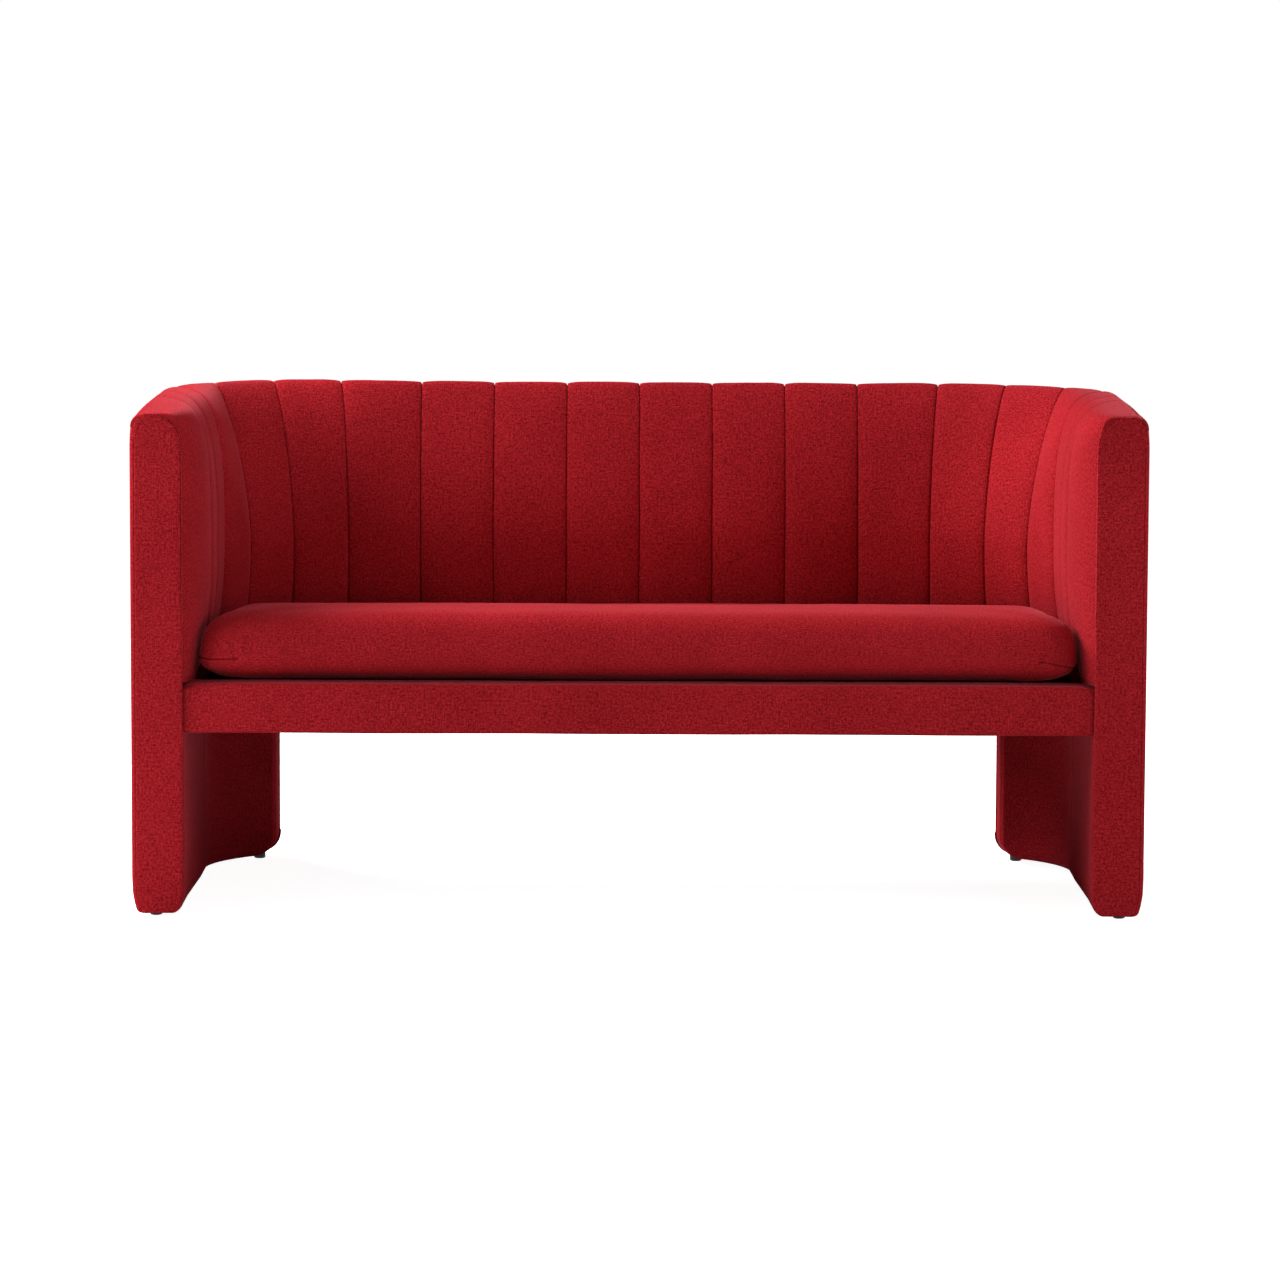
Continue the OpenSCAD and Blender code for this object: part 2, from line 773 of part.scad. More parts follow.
// Plan of the cushion's right half, from the middle of the front to the rear corner
function cushion_half() = let(w = cushion_w / 2, fr = cushion_front_r, rr = cushion_rear_r,
    front_x = w + cushion_corner_out - fr) concat(
  [for (i = [0:edge_steps - 1]) [front_x * i / edge_steps, cushion_y]],
  arc_points(front_x, cushion_y + fr, fr, -90, 0, edge_steps),
  [for (i = [1:edge_steps - 1]) let(s = i / edge_steps)
    [w + cushion_corner_out * pow(1 - s, drawn_in_power),
      cushion_y + fr + s * (cushion_d - fr - rr)]],
  arc_points(w - rr, cushion_back_y - rr, rr, 0, 90, corner_steps),
  [[(w - rr) / 2, cushion_back_y]]);
function cushion_plan() = let(half = cushion_half(), n = len(half)) concat(half,
  [[0, cushion_back_y]], [for (i = [n - 1:-1:1]) [-half[i][0], half[i][1]]]);

cushion_middle = [0, (cushion_y + cushion_back_y) / 2];
function cushion_ring(plan, in, z) =
  let(sx = 1 - 2 * in / cushion_w, sy = 1 - 2 * in / cushion_d)
  [for (p = plan) [p[0] * sx, cushion_middle[1] + (p[1] - cushion_middle[1]) * sy, z]];

module cushion_form() {
  plan = cushion_plan();
  n = len(plan);
  crown_h = cushion_z + cushion_h - band_z - cushion_band_h;
  rings = concat(
    [for (i = [0:len(under_in_shares) - 1]) cushion_ring(plan, under_in * under_in_shares[i],
      cushion_z + cushion_edge_z * under_rise_shares[i])],
    [cushion_ring(plan, 0, band_z), cushion_ring(plan, 0, band_z + cushion_band_h)],
    [for (i = [0:len(over_in_shares) - 1]) cushion_ring(plan, cushion_d / 2 * over_in_shares[i],
      band_z + cushion_band_h + crown_h * over_rise_shares[i])]);
  count = len(rings);
  low_point = count * n;
  top_point = low_point + 1;
  points = concat([for (ring = rings) each ring],
    [[0, cushion_middle[1], cushion_z], [0, cushion_middle[1], cushion_z + cushion_h]]);
  faces = concat(
    [for (i = [0:count - 2]) for (j = [0:n - 1]) let(a = i * n + j, b = i * n + (j + 1) % n)
      each [[a, a + n, b], [b, a + n, b + n]]],
    [for (j = [0:n - 1]) [j, (j + 1) % n, low_point]],
    [for (j = [0:n - 1]) let(a = (count - 1) * n) [a + j, top_point, a + (j + 1) % n]]);
  polyhedron(points = points, faces = faces);
}

module cushion_core() {
  plan = [for (p = cushion_ring(cushion_plan(), cushion_wrap_t, 0)) [p[0], p[1]]];
  color(foam_grey) translate([0, 0, cushion_z + cushion_wrap_t / 2])
    linear_extrude(cushion_h - 1.5 * cushion_wrap_t) polygon(plan);
}

module cushion_cover() {
  color(cloth_red) difference() {
    cushion_form();
    cushion_core();
  }
}

// Zip along the cushion's back, closed, with its slider at the left end of its run
zip_l = cushion_w - 2 * cushion_rear_r - 2 * zip_end_gap;
zip_z = band_z + cushion_band_h / 2;
zip_slider_l = 12;
zip_slider_t = 1;
zip_pull_l = 16;
zip_pull_w = 4;

module zip_tape() {
  color(dark_red) translate([-zip_l / 2, cushion_back_y, zip_z]) {
    translate([0, 0, -zip_tape_w / 2]) cube([zip_l, zip_tape_t, zip_tape_w]);
    translate([0, 0, -zip_chain_w / 2]) cube([zip_l, zip_tape_t + zip_chain_t, zip_chain_w]);
  }
}

module zip_slider() {
  cheek_z = zip_chain_w / 2 + play;
  plate_y = cushion_back_y + zip_tape_t + zip_chain_t + play / 2;
  color(steel) translate([-zip_l / 2, 0, zip_z]) {
    translate([0, plate_y, -cheek_z - zip_slider_t])
      cube([zip_slider_l, zip_slider_t, 2 * (cheek_z + zip_slider_t)]);
    for (z = [-cheek_z - zip_slider_t, cheek_z])
      translate([0, plate_y - zip_chain_t, z]) cube([zip_slider_l, zip_chain_t, zip_slider_t]);
    translate([(zip_slider_l - zip_pull_w) / 2, plate_y + zip_slider_t, -zip_pull_l])
      cube([zip_pull_w, zip_slider_t / 2, zip_pull_l]);
  }
}

// Glides

module glide_places() {
  translate([half_w - glide_in, front_y + front_glide_back, 0]) children();
  rear_glide_place() children();
}

module rear_glide_place() {
  r = corner_r - glide_in;
  round_x = leg_end_x + rear_glide_in - corner_x;
  translate([corner_x + round_x, corner_y + sqrt(r * r - round_x * round_x), 0]) children();
}

module glide_screw_hole() {
  cylinder(d = glide_screw_d + 2 * bolt_play, h = glide_recess_h + glide_screw_l + play);
}

module glide() {
  color(black_plastic) difference() {
    cylinder(d1 = glide_floor_d, d2 = glide_top_d, h = base_z);
    translate([0, 0, -over]) cylinder(d = glide_hole_d, h = base_z + 2 * over);
    translate([0, 0, -over]) cylinder(d = glide_screw_head_d + 2 * play, h = glide_recess_h + over);
  }
}

module glide_front_right() {
  translate([half_w - glide_in, front_y + front_glide_back, 0]) glide();
}

module glide_front_left() { left() glide_front_right(); }

module glide_rear_right() { rear_glide_place() glide(); }

module glide_rear_left() { left() glide_rear_right(); }

module glide_screws() {
  head_h = glide_screw_d / 2;
  color(steel) both_sides() glide_places() translate([0, 0, glide_recess_h]) {
    translate([0, 0, -head_h]) cylinder(d = glide_screw_head_d, h = head_h);
    cylinder(d = glide_screw_d, h = glide_screw_l);
  }
}

base_rib_left();
base_rib_right();
seat_rib();
middle_rib();
top_rib();
outer_skin();
inner_skin();
leg_skin_left();
leg_skin_right();
front_post_left();
front_post_right();
leg_end_stud_left();
leg_end_stud_right();
leg_studs();
arm_studs();
back_studs();
seat_front_rail();
seat_back_rail();
seat_side_rail_left();
seat_side_rail_right();
seat_corner_rail_left();
seat_corner_rail_right();
rail_bolts();
long_webbing();
cross_webbing();
deck_felt();
deck_cloth();
rail_cover();
dust_cover();
outer_back_cover();
outer_side_cover_left();
outer_side_cover_right();
leg_inner_cover_left();
leg_inner_cover_right();
leg_end_cover_left();
leg_end_cover_right();
base_strip_left();
base_strip_right();
front_facing_left();
front_facing_right();
back_pad();
arm_pad_left();
arm_pad_right();
cushion_core();
cushion_cover();
zip_tape();
zip_slider();
glide_front_left();
glide_front_right();
glide_rear_left();
glide_rear_right();
glide_screws();
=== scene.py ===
# %% [markdown]
# # A channelled two-seat sofa
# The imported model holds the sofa's construction: plywood shell, ribs, rails, padding and cushion.
# This notebook dresses it. Hard pieces keep their CAD shape and get a finish. Everything that is
# cloth over wadding is modelled again with more points, so that its seams, rolled edges and
# stitches are real geometry. Lengths are metres, and the sofa faces -Y.

# %% Load the frame
import json
import math

import bmesh
import bpy
import numpy as np
from mathutils import Matrix, Vector, noise


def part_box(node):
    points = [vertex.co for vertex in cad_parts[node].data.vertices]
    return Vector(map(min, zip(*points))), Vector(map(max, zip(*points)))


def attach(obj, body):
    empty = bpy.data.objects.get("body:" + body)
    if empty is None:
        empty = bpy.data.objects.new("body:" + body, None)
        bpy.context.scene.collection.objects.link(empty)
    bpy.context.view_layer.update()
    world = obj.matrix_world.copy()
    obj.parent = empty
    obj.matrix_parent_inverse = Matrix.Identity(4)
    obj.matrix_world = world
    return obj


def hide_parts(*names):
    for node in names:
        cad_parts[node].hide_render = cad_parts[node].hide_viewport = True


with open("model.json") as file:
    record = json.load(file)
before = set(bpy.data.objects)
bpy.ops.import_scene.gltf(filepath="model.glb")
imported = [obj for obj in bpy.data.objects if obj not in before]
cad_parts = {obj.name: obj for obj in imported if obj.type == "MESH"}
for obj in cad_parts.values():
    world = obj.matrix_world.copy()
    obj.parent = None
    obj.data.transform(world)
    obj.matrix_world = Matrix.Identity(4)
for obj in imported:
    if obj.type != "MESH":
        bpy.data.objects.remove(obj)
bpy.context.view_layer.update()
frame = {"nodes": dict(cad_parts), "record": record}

# %% [markdown]
# ## Sizes from the frame
# The cloth has to sit exactly on the wood, so the main sizes are read from the boxes of CAD nodes.
# Only what a box can't tell, such as a radius or a seam's place, is written down here.

# %% Main sizes
side_low, side_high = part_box("outer_side_cover_right")
back_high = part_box("outer_back_cover")[1]
front_low, front_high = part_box("front_facing_right")
rail_low, rail_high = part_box("rail_cover")
HALF_W, LEG_LIFT = side_high.x, side_low.z
HALF_D, FRAME_TOP = back_high.y, back_high.z
FRONT_Y, SHELL_FRONT_Y = front_low.y, front_high.y
LEG_W = HALF_W - front_low.x
RAIL_END_X, RAIL_FRONT_Y, SEAT_UNDER = rail_high.x, rail_low.y, rail_low.z
RIDGE_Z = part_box("back_pad")[1].z
DECK_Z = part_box("deck_cloth")[1].z
LEG_END_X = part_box("leg_end_cover_right")[0].x
CORNER_R = 0.257
CORNER_X, CORNER_Y = HALF_W - CORNER_R, HALF_D - CORNER_R
LEG_END_R = 0.028
SIDES = ((-1, "left"), (1, "right"))
print("outer half width", round(HALF_W, 4), "leg width", round(LEG_W, 4))

# %% [markdown]
# ## The camera
# The photograph was taken from far away with a long lens, a little above the seat. Its place was
# solved from the sofa's own edges. It is written here as a real position, tilt and focal length.

# %% Camera
CAMERA_PLACE = (-0.0029, -8.1532, 1.2601)
CAMERA_TILT = 0.10785
CAMERA_TURN = -0.0006
CAMERA_ROLL = 0.0040
CAMERA_REACH = 60.0
FOCAL_PX = 5406.0
PHOTO_PX = 1280
SENSOR_MM = 36.0


def in_scene(name, data):
    """A new object in the scene, made of this data."""
    thing = bpy.data.objects.new(name, data)
    bpy.context.scene.collection.objects.link(thing)
    return thing


camera_data = bpy.data.cameras.new("camera")
camera_data.sensor_width = SENSOR_MM
camera_data.lens = FOCAL_PX / PHOTO_PX * SENSOR_MM
camera_data.clip_end = CAMERA_REACH
camera = in_scene("camera", camera_data)
camera.matrix_world = (
    Matrix.Translation(CAMERA_PLACE)
    @ Matrix.Rotation(CAMERA_TURN, 4, "Z")
    @ Matrix.Rotation(math.pi / 2 - CAMERA_TILT, 4, "X")
    @ Matrix.Rotation(CAMERA_ROLL, 4, "Z")
)
bpy.context.scene.camera = camera
bpy.context.scene.view_settings.view_transform = "Standard"

# %% [markdown]
# ## Node helpers
# A finish is a small tree of nodes. These helpers add nodes by plain calls, so that each material
# below reads as a recipe. Cloth reads the UV map, which holds real metres along the cloth, and
# wood, plastic and metal read Object coordinates, which are metres too.


# %% Helpers for node trees
class Nodes:
    """A node tree being built. A value is a node's setting, an input, or another's output."""

    def __init__(self, tree):
        self.tree = tree

    def add(self, kind, **values):
        node = self.tree.nodes.new(kind)
        for key, value in values.items():
            if hasattr(node, key):
                setattr(node, key, value)
            else:
                self.feed(node.inputs[key.replace("_", " ")], value)
        return node

    def feed(self, socket, value):
        if isinstance(value, bpy.types.NodeSocket):
            self.tree.links.new(value, socket)
        elif hasattr(socket.default_value, "__len__"):
            socket.default_value = (*value, 1)[: len(socket.default_value)]
        else:
            socket.default_value = value

    def sums(self, operation, a, b):
        node = self.add("ShaderNodeMath", operation=operation)
        self.feed(node.inputs[0], a)
        self.feed(node.inputs[1], b)
        return node.outputs["Value"]


class Recipe(Nodes):
    """A material being built round its main shader."""

    def __init__(self, name, colour, roughness=0.8, specular=0.5):
        self.material = bpy.data.materials.new(name)
        self.material.use_nodes = True
        self.material.diffuse_color = (*colour, 1)
        super().__init__(self.material.node_tree)
        self.shader = self.tree.nodes["Principled BSDF"]
        self.set(Base_Color=colour, Roughness=roughness, Specular_IOR_Level=specular)

    def set(self, **values):
        """Sets or links inputs of the main shader."""
        for key, value in values.items():
            self.feed(self.shader.inputs[key.replace("_", " ")], value)

    def place(self, source, counts):
        """Coordinates of a kind (UV or Object), scaled to counts per metre."""
        given = self.add("ShaderNodeTexCoord").outputs[source]
        return self.add("ShaderNodeMapping", Vector=given, Scale=counts).outputs["Vector"]

    def noise(self, vector, detail=2.0, roughness=0.5):
        return self.add("ShaderNodeTexNoise", Vector=vector, Scale=1.0, Detail=detail,
                        Roughness=roughness).outputs["Fac"]

    def waves(self, vector, direction, distortion=0.0):
        return self.add("ShaderNodeTexWave", bands_direction=direction, Vector=vector, Scale=1.0,
                        Distortion=distortion).outputs["Fac"]

    def ramp(self, factor, low, high, start=0.0, end=1.0):
        """Turns a number into a colour between two colours."""
        node = self.add("ShaderNodeValToRGB", Fac=factor)
        for element, position, colour in zip(node.color_ramp.elements, (start, end), (low, high)):
            element.position = position
            element.color = (*colour, 1)
        return node.outputs["Color"]

    def darkened(self, colour, by):
        """A colour times another colour."""
        node = self.add("ShaderNodeMix", data_type="RGBA", blend_type="MULTIPLY")
        for index, value in ((0, 1.0), (6, colour), (7, by)):
            self.feed(node.inputs[index], value)
        return node.outputs[2]

    def bump(self, height, strength, distance):
        node = self.add("ShaderNodeBump", Height=height, Strength=strength, Distance=distance)
        self.set(Normal=node.outputs["Normal"])


# %% [markdown]
# ## The red wool
# The cover is a fine, fulled wool weave. From a step away the eye sees three things: a warm red,
# small lighter and darker yarns crossing each other, and fuzz that glows where the cloth turns
# away. The yarns are two noises stretched along and across the cloth, the weave is a pair of
# waves in the bump, and the fuzz is the shader's sheen.

# %% Red wool
YARNS_PER_M = 620
YARN_TONES_PER_M = 55
SPECKLES_PER_M = 290
CLOUDS_PER_M = 7
FUZZ_PER_M = 900
WAVE = 6.28
WEAVE_WOBBLE = 0.4
YARN_SHARE, SPECKLE_SHARE = 0.4, 0.6
WOOL_MEAN = (0.34, 0.014, 0.019)
WOOL_DARK = (0.185, 0.0050, 0.0078)
WOOL_LIGHT = (0.52, 0.0235, 0.0315)


def red_wool():
    """Fulled wool weave on a UV map in metres."""
    wool = Recipe("red_wool", WOOL_MEAN, roughness=0.92, specular=0.0)
    along = wool.noise(wool.place("UV", (YARNS_PER_M, YARN_TONES_PER_M, 1)), 3, 0.6)
    across = wool.noise(wool.place("UV", (YARN_TONES_PER_M, YARNS_PER_M, 1)), 3, 0.6)
    yarns = wool.sums("MULTIPLY", wool.sums("ADD", along, across), 0.5)
    speckle = wool.noise(wool.place("UV", (SPECKLES_PER_M, SPECKLES_PER_M, 1)), 3, 0.65)
    grain = wool.sums("ADD", wool.sums("MULTIPLY", yarns, YARN_SHARE),
                      wool.sums("MULTIPLY", speckle, SPECKLE_SHARE))
    cloth = wool.ramp(grain, WOOL_DARK, WOOL_LIGHT, 0.39, 0.62)
    clouds = wool.noise(wool.place("Object", (CLOUDS_PER_M,) * 3), 3)
    shade = wool.ramp(clouds, (0.9, 0.88, 0.88), (1.06, 1.08, 1.08), 0.3, 0.7)
    warp = wool.waves(wool.place("UV", (YARNS_PER_M / WAVE, 1, 1)), "X", WEAVE_WOBBLE)
    weft = wool.waves(wool.place("UV", (1, YARNS_PER_M / WAVE, 1)), "Y", WEAVE_WOBBLE)
    weave = wool.sums("MULTIPLY", warp, weft)
    fuzz = wool.noise(wool.place("Object", (FUZZ_PER_M,) * 3))
    wool.bump(wool.sums("ADD", weave, wool.sums("ADD", fuzz, grain)), 0.35, 0.0006)
    wool.set(Base_Color=wool.darkened(cloth, shade), Sheen_Weight=0.34, Sheen_Roughness=0.3,
             Sheen_Tint=(1.0, 0.24, 0.29))
    return wool.material


RED_WOOL = red_wool()

# %% [markdown]
# ## The finishes that hide
# Behind the red cloth lie birch plywood, beech, felt, webbing and black dust cloth. They show at
# the glides, under the seat and when the cushion is pulled out, so each has its own recipe.


# %% Cloths of the seat's inside
def plain_cloth(name, dark, light, threads=500, roughness=0.9, fuzz=0.2):
    """A thin woven or non-woven cloth on Object coordinates."""
    cloth = Recipe(name, light, roughness, specular=0.0)
    grid = cloth.place("Object", (threads / WAVE,) * 3)
    weave = cloth.sums("ADD", cloth.waves(grid, "X"), cloth.waves(grid, "Y"))
    speckle = cloth.noise(cloth.place("Object", (300, 300, 300)), 3)
    mixed = cloth.sums("MULTIPLY", cloth.sums("ADD", weave, speckle), 0.4)
    cloth.bump(mixed, 0.4, 0.0004)
    cloth.set(Base_Color=cloth.ramp(mixed, dark, light, 0.2, 0.85), Sheen_Weight=fuzz,
              Sheen_Roughness=0.5, Sheen_Tint=(1, 1, 1))
    return cloth.material


DECK_CLOTH = plain_cloth("deck_cloth", (0.05, 0.002, 0.004), (0.1, 0.005, 0.008), fuzz=0.0)
BLACK_CLOTH = plain_cloth("black_cloth", (0.008, 0.008, 0.009), (0.02, 0.02, 0.022), 260)
WEBBING = plain_cloth("webbing", (0.05, 0.05, 0.052), (0.13, 0.13, 0.13), 420, 0.8)
FELT = plain_cloth("foam_and_felt", (0.5, 0.47, 0.41), (0.72, 0.69, 0.62), 150)
ZIP_CLOTH = plain_cloth("zip_tape", (0.11, 0.005, 0.009), (0.2, 0.012, 0.018), 900, 0.75)


# %% Wood
def wood(name, pale, deep, grain_scale, layers=0.0):
    """Planed wood, or plywood where layers gives its veneers per metre of height."""
    board = Recipe(name, pale, roughness=0.55)
    rings = board.waves(board.place("Object", grain_scale), "Z", 6.0)
    flecks = board.noise(board.place("Object", (40, 40, 600)), 4)
    mixed = board.sums("ADD", board.sums("MULTIPLY", rings, 0.5),
                       board.sums("MULTIPLY", flecks, 0.5))
    tone = board.ramp(mixed, deep, pale, 0.25, 0.75)
    if layers:
        veneers = board.waves(board.place("Object", (0.01, 0.01, layers / WAVE)), "Z")
        tone = board.darkened(tone, board.ramp(veneers, (0.72, 0.66, 0.6), (1, 1, 1), 0.1, 0.35))
    board.set(Base_Color=tone)
    board.bump(mixed, 0.15, 0.0004)
    return board.material


BIRCH_PLY = wood("birch_ply", (0.66, 0.47, 0.28), (0.5, 0.33, 0.18), (3, 3, 9), 650)
BEECH = wood("beech_wood", (0.55, 0.33, 0.19), (0.4, 0.22, 0.12), (5, 2, 14))


# %% Plastic, steel and thread
def times(colour, factor):
    """A paler or darker colour."""
    return tuple(c * factor for c in colour)


def moulded_plastic(name, colour):
    plastic = Recipe(name, colour, roughness=0.42, specular=0.25)
    spots = plastic.noise(plastic.place("Object", (1200, 1200, 1200)))
    plastic.set(Base_Color=plastic.ramp(spots, colour, times(colour, 1.8), 0.35, 0.75))
    plastic.bump(spots, 0.2, 0.0001)
    return plastic.material


def plated_steel(name, colour):
    steel = Recipe(name, colour)
    brushed = steel.noise(steel.place("Object", (200, 200, 2600)), 3)
    steel.set(Metallic=1.0,
              Base_Color=steel.ramp(brushed, times(colour, 0.82), colour, 0.3, 0.7),
              Roughness=steel.ramp(brushed, (0.24,) * 3, (0.4,) * 3, 0.3, 0.7))
    return steel.material


def sewing_thread(name, colour):
    """Spun thread: a fine twist across a dull sheen."""
    yarn = Recipe(name, colour, roughness=0.6, specular=0.0)
    twist = yarn.noise(yarn.place("Object", (900, 900, 2600)))
    yarn.set(Base_Color=yarn.ramp(twist, times(colour, 0.6), times(colour, 1.5)))
    yarn.bump(twist, 0.3, 0.0002)
    return yarn.material


GLIDE_PLASTIC = moulded_plastic("glide_plastic", (0.012, 0.012, 0.013))
ZIP_TEETH = moulded_plastic("zip_teeth", (0.1, 0.006, 0.01))
STEEL = plated_steel("steel", (0.62, 0.62, 0.64))
# The thread is a dark red, far darker than the cover: its darkness is partly its own colour and
# partly painted shade for the stitch holes.
THREAD_AND_PAINTED_SHADE = sewing_thread("thread", (0.055, 0.002, 0.004))

# %% [markdown]
# ## Giving the CAD nodes their finish
# Nodes whose CAD shape is already right stay as they are. The record says which material slot
# each one belongs to, so one table from slot to recipe serves them all.

# %% Finishes of the nodes that stay
FINISH = {
    "red_wool": RED_WOOL, "deck_cloth": DECK_CLOTH, "zip_tape": ZIP_CLOTH,
    "black_cloth": BLACK_CLOTH, "webbing": WEBBING, "foam_and_felt": FELT,
    "birch_ply": BIRCH_PLY, "beech_wood": BEECH, "glide_plastic": GLIDE_PLASTIC, "steel": STEEL,
}
for part in frame["record"]["subparts"]:
    node = frame["nodes"][part["node"]]
    node.data.materials.clear()
    node.data.materials.append(FINISH[part["material_slot"]])
print("finished", len(frame["nodes"]), "CAD nodes")

# %% [markdown]
# ## From arrays to meshes
# Every cloth piece starts as a grid of points: rows one way, columns the other. numpy works out
# all the points at once, and these helpers turn a grid into a mesh with a UV map in metres.


# %% Grid helpers
def grid_faces(rows, columns, closed=False):
    """Quads over points that are numbered row by row."""
    faces = []
    for r in range(rows - 1):
        for c in range(columns if closed else columns - 1):
            a = r * columns + c
            b = r * columns + (c + 1) % columns
            faces.append((a, b, b + columns, a + columns))
    return faces


def grid_normals(points):
    """Unit normals of a grid of points."""
    normals = np.cross(np.gradient(points, axis=0), np.gradient(points, axis=1))
    return normals / np.maximum(np.linalg.norm(normals, axis=2, keepdims=True), 1e-12)


def grid_lengths(points, axis):
    """How far each point of a grid lies along its row or column, in metres."""
    steps = np.linalg.norm(np.diff(points, axis=axis), axis=2)
    zero = np.zeros_like(steps[:1] if axis == 0 else steps[:, :1])
    return np.concatenate([zero, np.cumsum(steps, axis=axis)], axis=axis)


# %% Mesh helpers
def set_uvs(mesh, uvs):
    """Writes a UV map from one place per point."""
    layer = mesh.uv_layers.new(name="UVMap")
    corners = np.empty(len(mesh.loops), np.int32)
    mesh.loops.foreach_get("vertex_index", corners)
    layer.data.foreach_set("uv", np.asarray(uvs, np.float32)[corners].ravel())


def mesh_object(name, points, faces, uvs=None, material=RED_WOOL):
    """A mesh object with outward faces, its place in its mesh, and smooth shading."""
    mesh = bpy.data.meshes.new(name)
    mesh.from_pydata([tuple(p) for p in points], [], faces)
    if uvs is not None:
        set_uvs(mesh, uvs)
    shaped = bmesh.new()
    shaped.from_mesh(mesh)
    bmesh.ops.remove_doubles(shaped, verts=shaped.verts, dist=1e-6)
    bmesh.ops.recalc_face_normals(shaped, faces=shaped.faces)
    shaped.to_mesh(mesh)
    shaped.free()
    mesh.shade_smooth()
    mesh.materials.append(material)
    return in_scene(name, mesh)


def facing_out(piece, towards):
    """Turns an open panel's faces so that they look along a direction."""
    total = sum((p.normal * p.area for p in piece.data.polygons), Vector())
    if total.dot(Vector(towards)) < 0:
        piece.data.flip_normals()


def plain_mesh(piece):
    """The piece with its modifiers made real."""
    graph = bpy.context.evaluated_depsgraph_get()
    mesh = bpy.data.meshes.new_from_object(piece.evaluated_get(graph))
    piece.modifiers.clear()
    old = piece.data
    piece.data = mesh
    bpy.data.meshes.remove(old)
    return piece


# %% Pieces and panels
WALL_CLOTH = 0.0022
THICK_CLOTH = 0.003


def wear(piece, body, slot, *nodes, fill=None):
    """Rides the piece on its body and hides the CAD nodes it stands for. The slot is not used."""
    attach(piece, body)
    if nodes:
        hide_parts(*nodes)
    print(piece.name, "on", body, len(piece.data.polygons), "faces")


def panel(name, node, points, towards, uvs=None, wall=WALL_CLOTH, fill=None):
    """A cloth panel of the frame, from a grid of points on its outer face."""
    if uvs is None:
        uvs = np.stack([grid_lengths(points, 0), grid_lengths(points, 1)], -1)
    piece = mesh_object(name, points.reshape(-1, 3), grid_faces(*points.shape[:2]),
                        uvs.reshape(-1, 2))
    facing_out(piece, towards)
    solid = piece.modifiers.new("thickness", "SOLIDIFY")
    solid.thickness = wall
    solid.offset = -1
    wear(plain_mesh(piece), "frame", "red_wool", node, fill=fill)


# %% [markdown]
# ## Soft edges and small unevenness
# A few short functions make cloth look sewn. `rolled` is how far a padded panel has sunk at a
# given distance from its seam: it drops steeply at the stitching and is level a few millimetres
# away. `wadding` is smooth noise, because what lies under the cloth is never perfectly flat.


# %% Rolled edges and unevenness
def fade_in(distance, reach):
    """0 at a line, and 1 from a reach away."""
    return np.clip(distance / reach, 0, 1)


def fade_out(distance, reach):
    """1 at a line, and 0 from a reach away."""
    return np.clip(1 - distance / reach, 0, 1)


def rolled(distance, radius, depth):
    """Sinking of a padded surface near a seam, as a quarter round."""
    return depth * (1 - np.sqrt(1 - fade_out(distance, radius) ** 2))


def uneven(points, scale, seed=0.0):
    """Smooth noise from -1 to 1 at each point, with so many waves per metre."""
    flat = points.reshape(-1, 3)
    values = [noise.noise(Vector(p) * scale + Vector((seed, seed, seed))) for p in flat]
    return np.array(values).reshape(points.shape[:-1])


def wadding(points, *waves):
    """Height of the unevenness under a cloth. Each wave is a count per metre, height and seed."""
    return sum(uneven(points, scale, seed) * height for scale, height, seed in waves)


# %% [markdown]
# ## The channelled padding
# This is the sofa's main feature: foam and cloth sewn into vertical channels, which run over the
# frame's top, down inside the back, round the corners and along the arms. A place along it is a
# channel number: whole numbers are seams, 0 is the middle of the back, and 10 is the arm front.
# Two curves guide it, one along the ridge and one where the padding is fullest, each a straight
# back, a round corner and a straight arm. The formulas are those of the CAD source.

# %% Sizes of the padding
END_K, ARM_K, CORNER_END_K, FRONT_K = 10, 3, 6, 9
PAD_IN = 0.040
RIDGE_IN = 0.024
BACK_SWELL = 0.054
ARM_SWELL = 0.067
BULGE_R = 0.316
BULGE_Z = 0.517
BULGE_DROP = 0.226
FRONT_BULGE_DROP = 0.5
CORNER_FULLNESS, ARM_FULLNESS, FRONT_FULLNESS = 1.46, 3.4, 7.0
BACK_CHANNELS_PAST = 0.024
FRONT_CHANNEL_W = 0.130
FRONT_RIDGE_CHANNEL_W = 0.261
BULGE_LEAD = 0.016
RIDGE_LEAD = 0.020
CHANNEL_DEPTH = 0.005
CHANNEL_SQUARENESS = 3
RIDGE_DIP = 0.001
FRONT_RIDGE_DROP = 0.008
FRONT_W = 0.077

RIDGE_R = CORNER_R - RIDGE_IN
RIDGE_LEN = CORNER_X + RIDGE_R * math.pi / 2 + CORNER_Y - SHELL_FRONT_Y
BULGE_X = HALF_W - PAD_IN - ARM_SWELL - BULGE_R
BULGE_Y = HALF_D - PAD_IN - BACK_SWELL - BULGE_R
BULGE_LEN = BULGE_X + BULGE_R * math.pi / 2 + BULGE_Y - SHELL_FRONT_Y
BACK_LEN = BULGE_X + BACK_CHANNELS_PAST
BACK_CHANNEL_W = BACK_LEN / ARM_K
ARM_CHANNELS = FRONT_K - ARM_K
ARM_CHANNEL_W = (BULGE_LEN - FRONT_CHANNEL_W - BULGE_LEAD - BACK_LEN) / ARM_CHANNELS
RIDGE_CHANNEL_W = (RIDGE_LEN - FRONT_RIDGE_CHANNEL_W - RIDGE_LEAD - BACK_LEN) / ARM_CHANNELS
print("channels", round(BACK_CHANNEL_W, 4), round(ARM_CHANNEL_W, 4), round(RIDGE_CHANNEL_W, 4))


# %% The two guide curves
def run_at(k, lead, pitch, length):
    """Distance of channel number k from the middle of the back."""
    seam = np.where(k <= ARM_K, k * BACK_CHANNEL_W,
                    BACK_LEN + lead * np.clip(k - ARM_K, 0, 1) + (k - ARM_K) * pitch)
    front = BACK_LEN + lead + ARM_CHANNELS * pitch
    return np.where(k <= FRONT_K, seam, front + (k - FRONT_K) * (length - front))


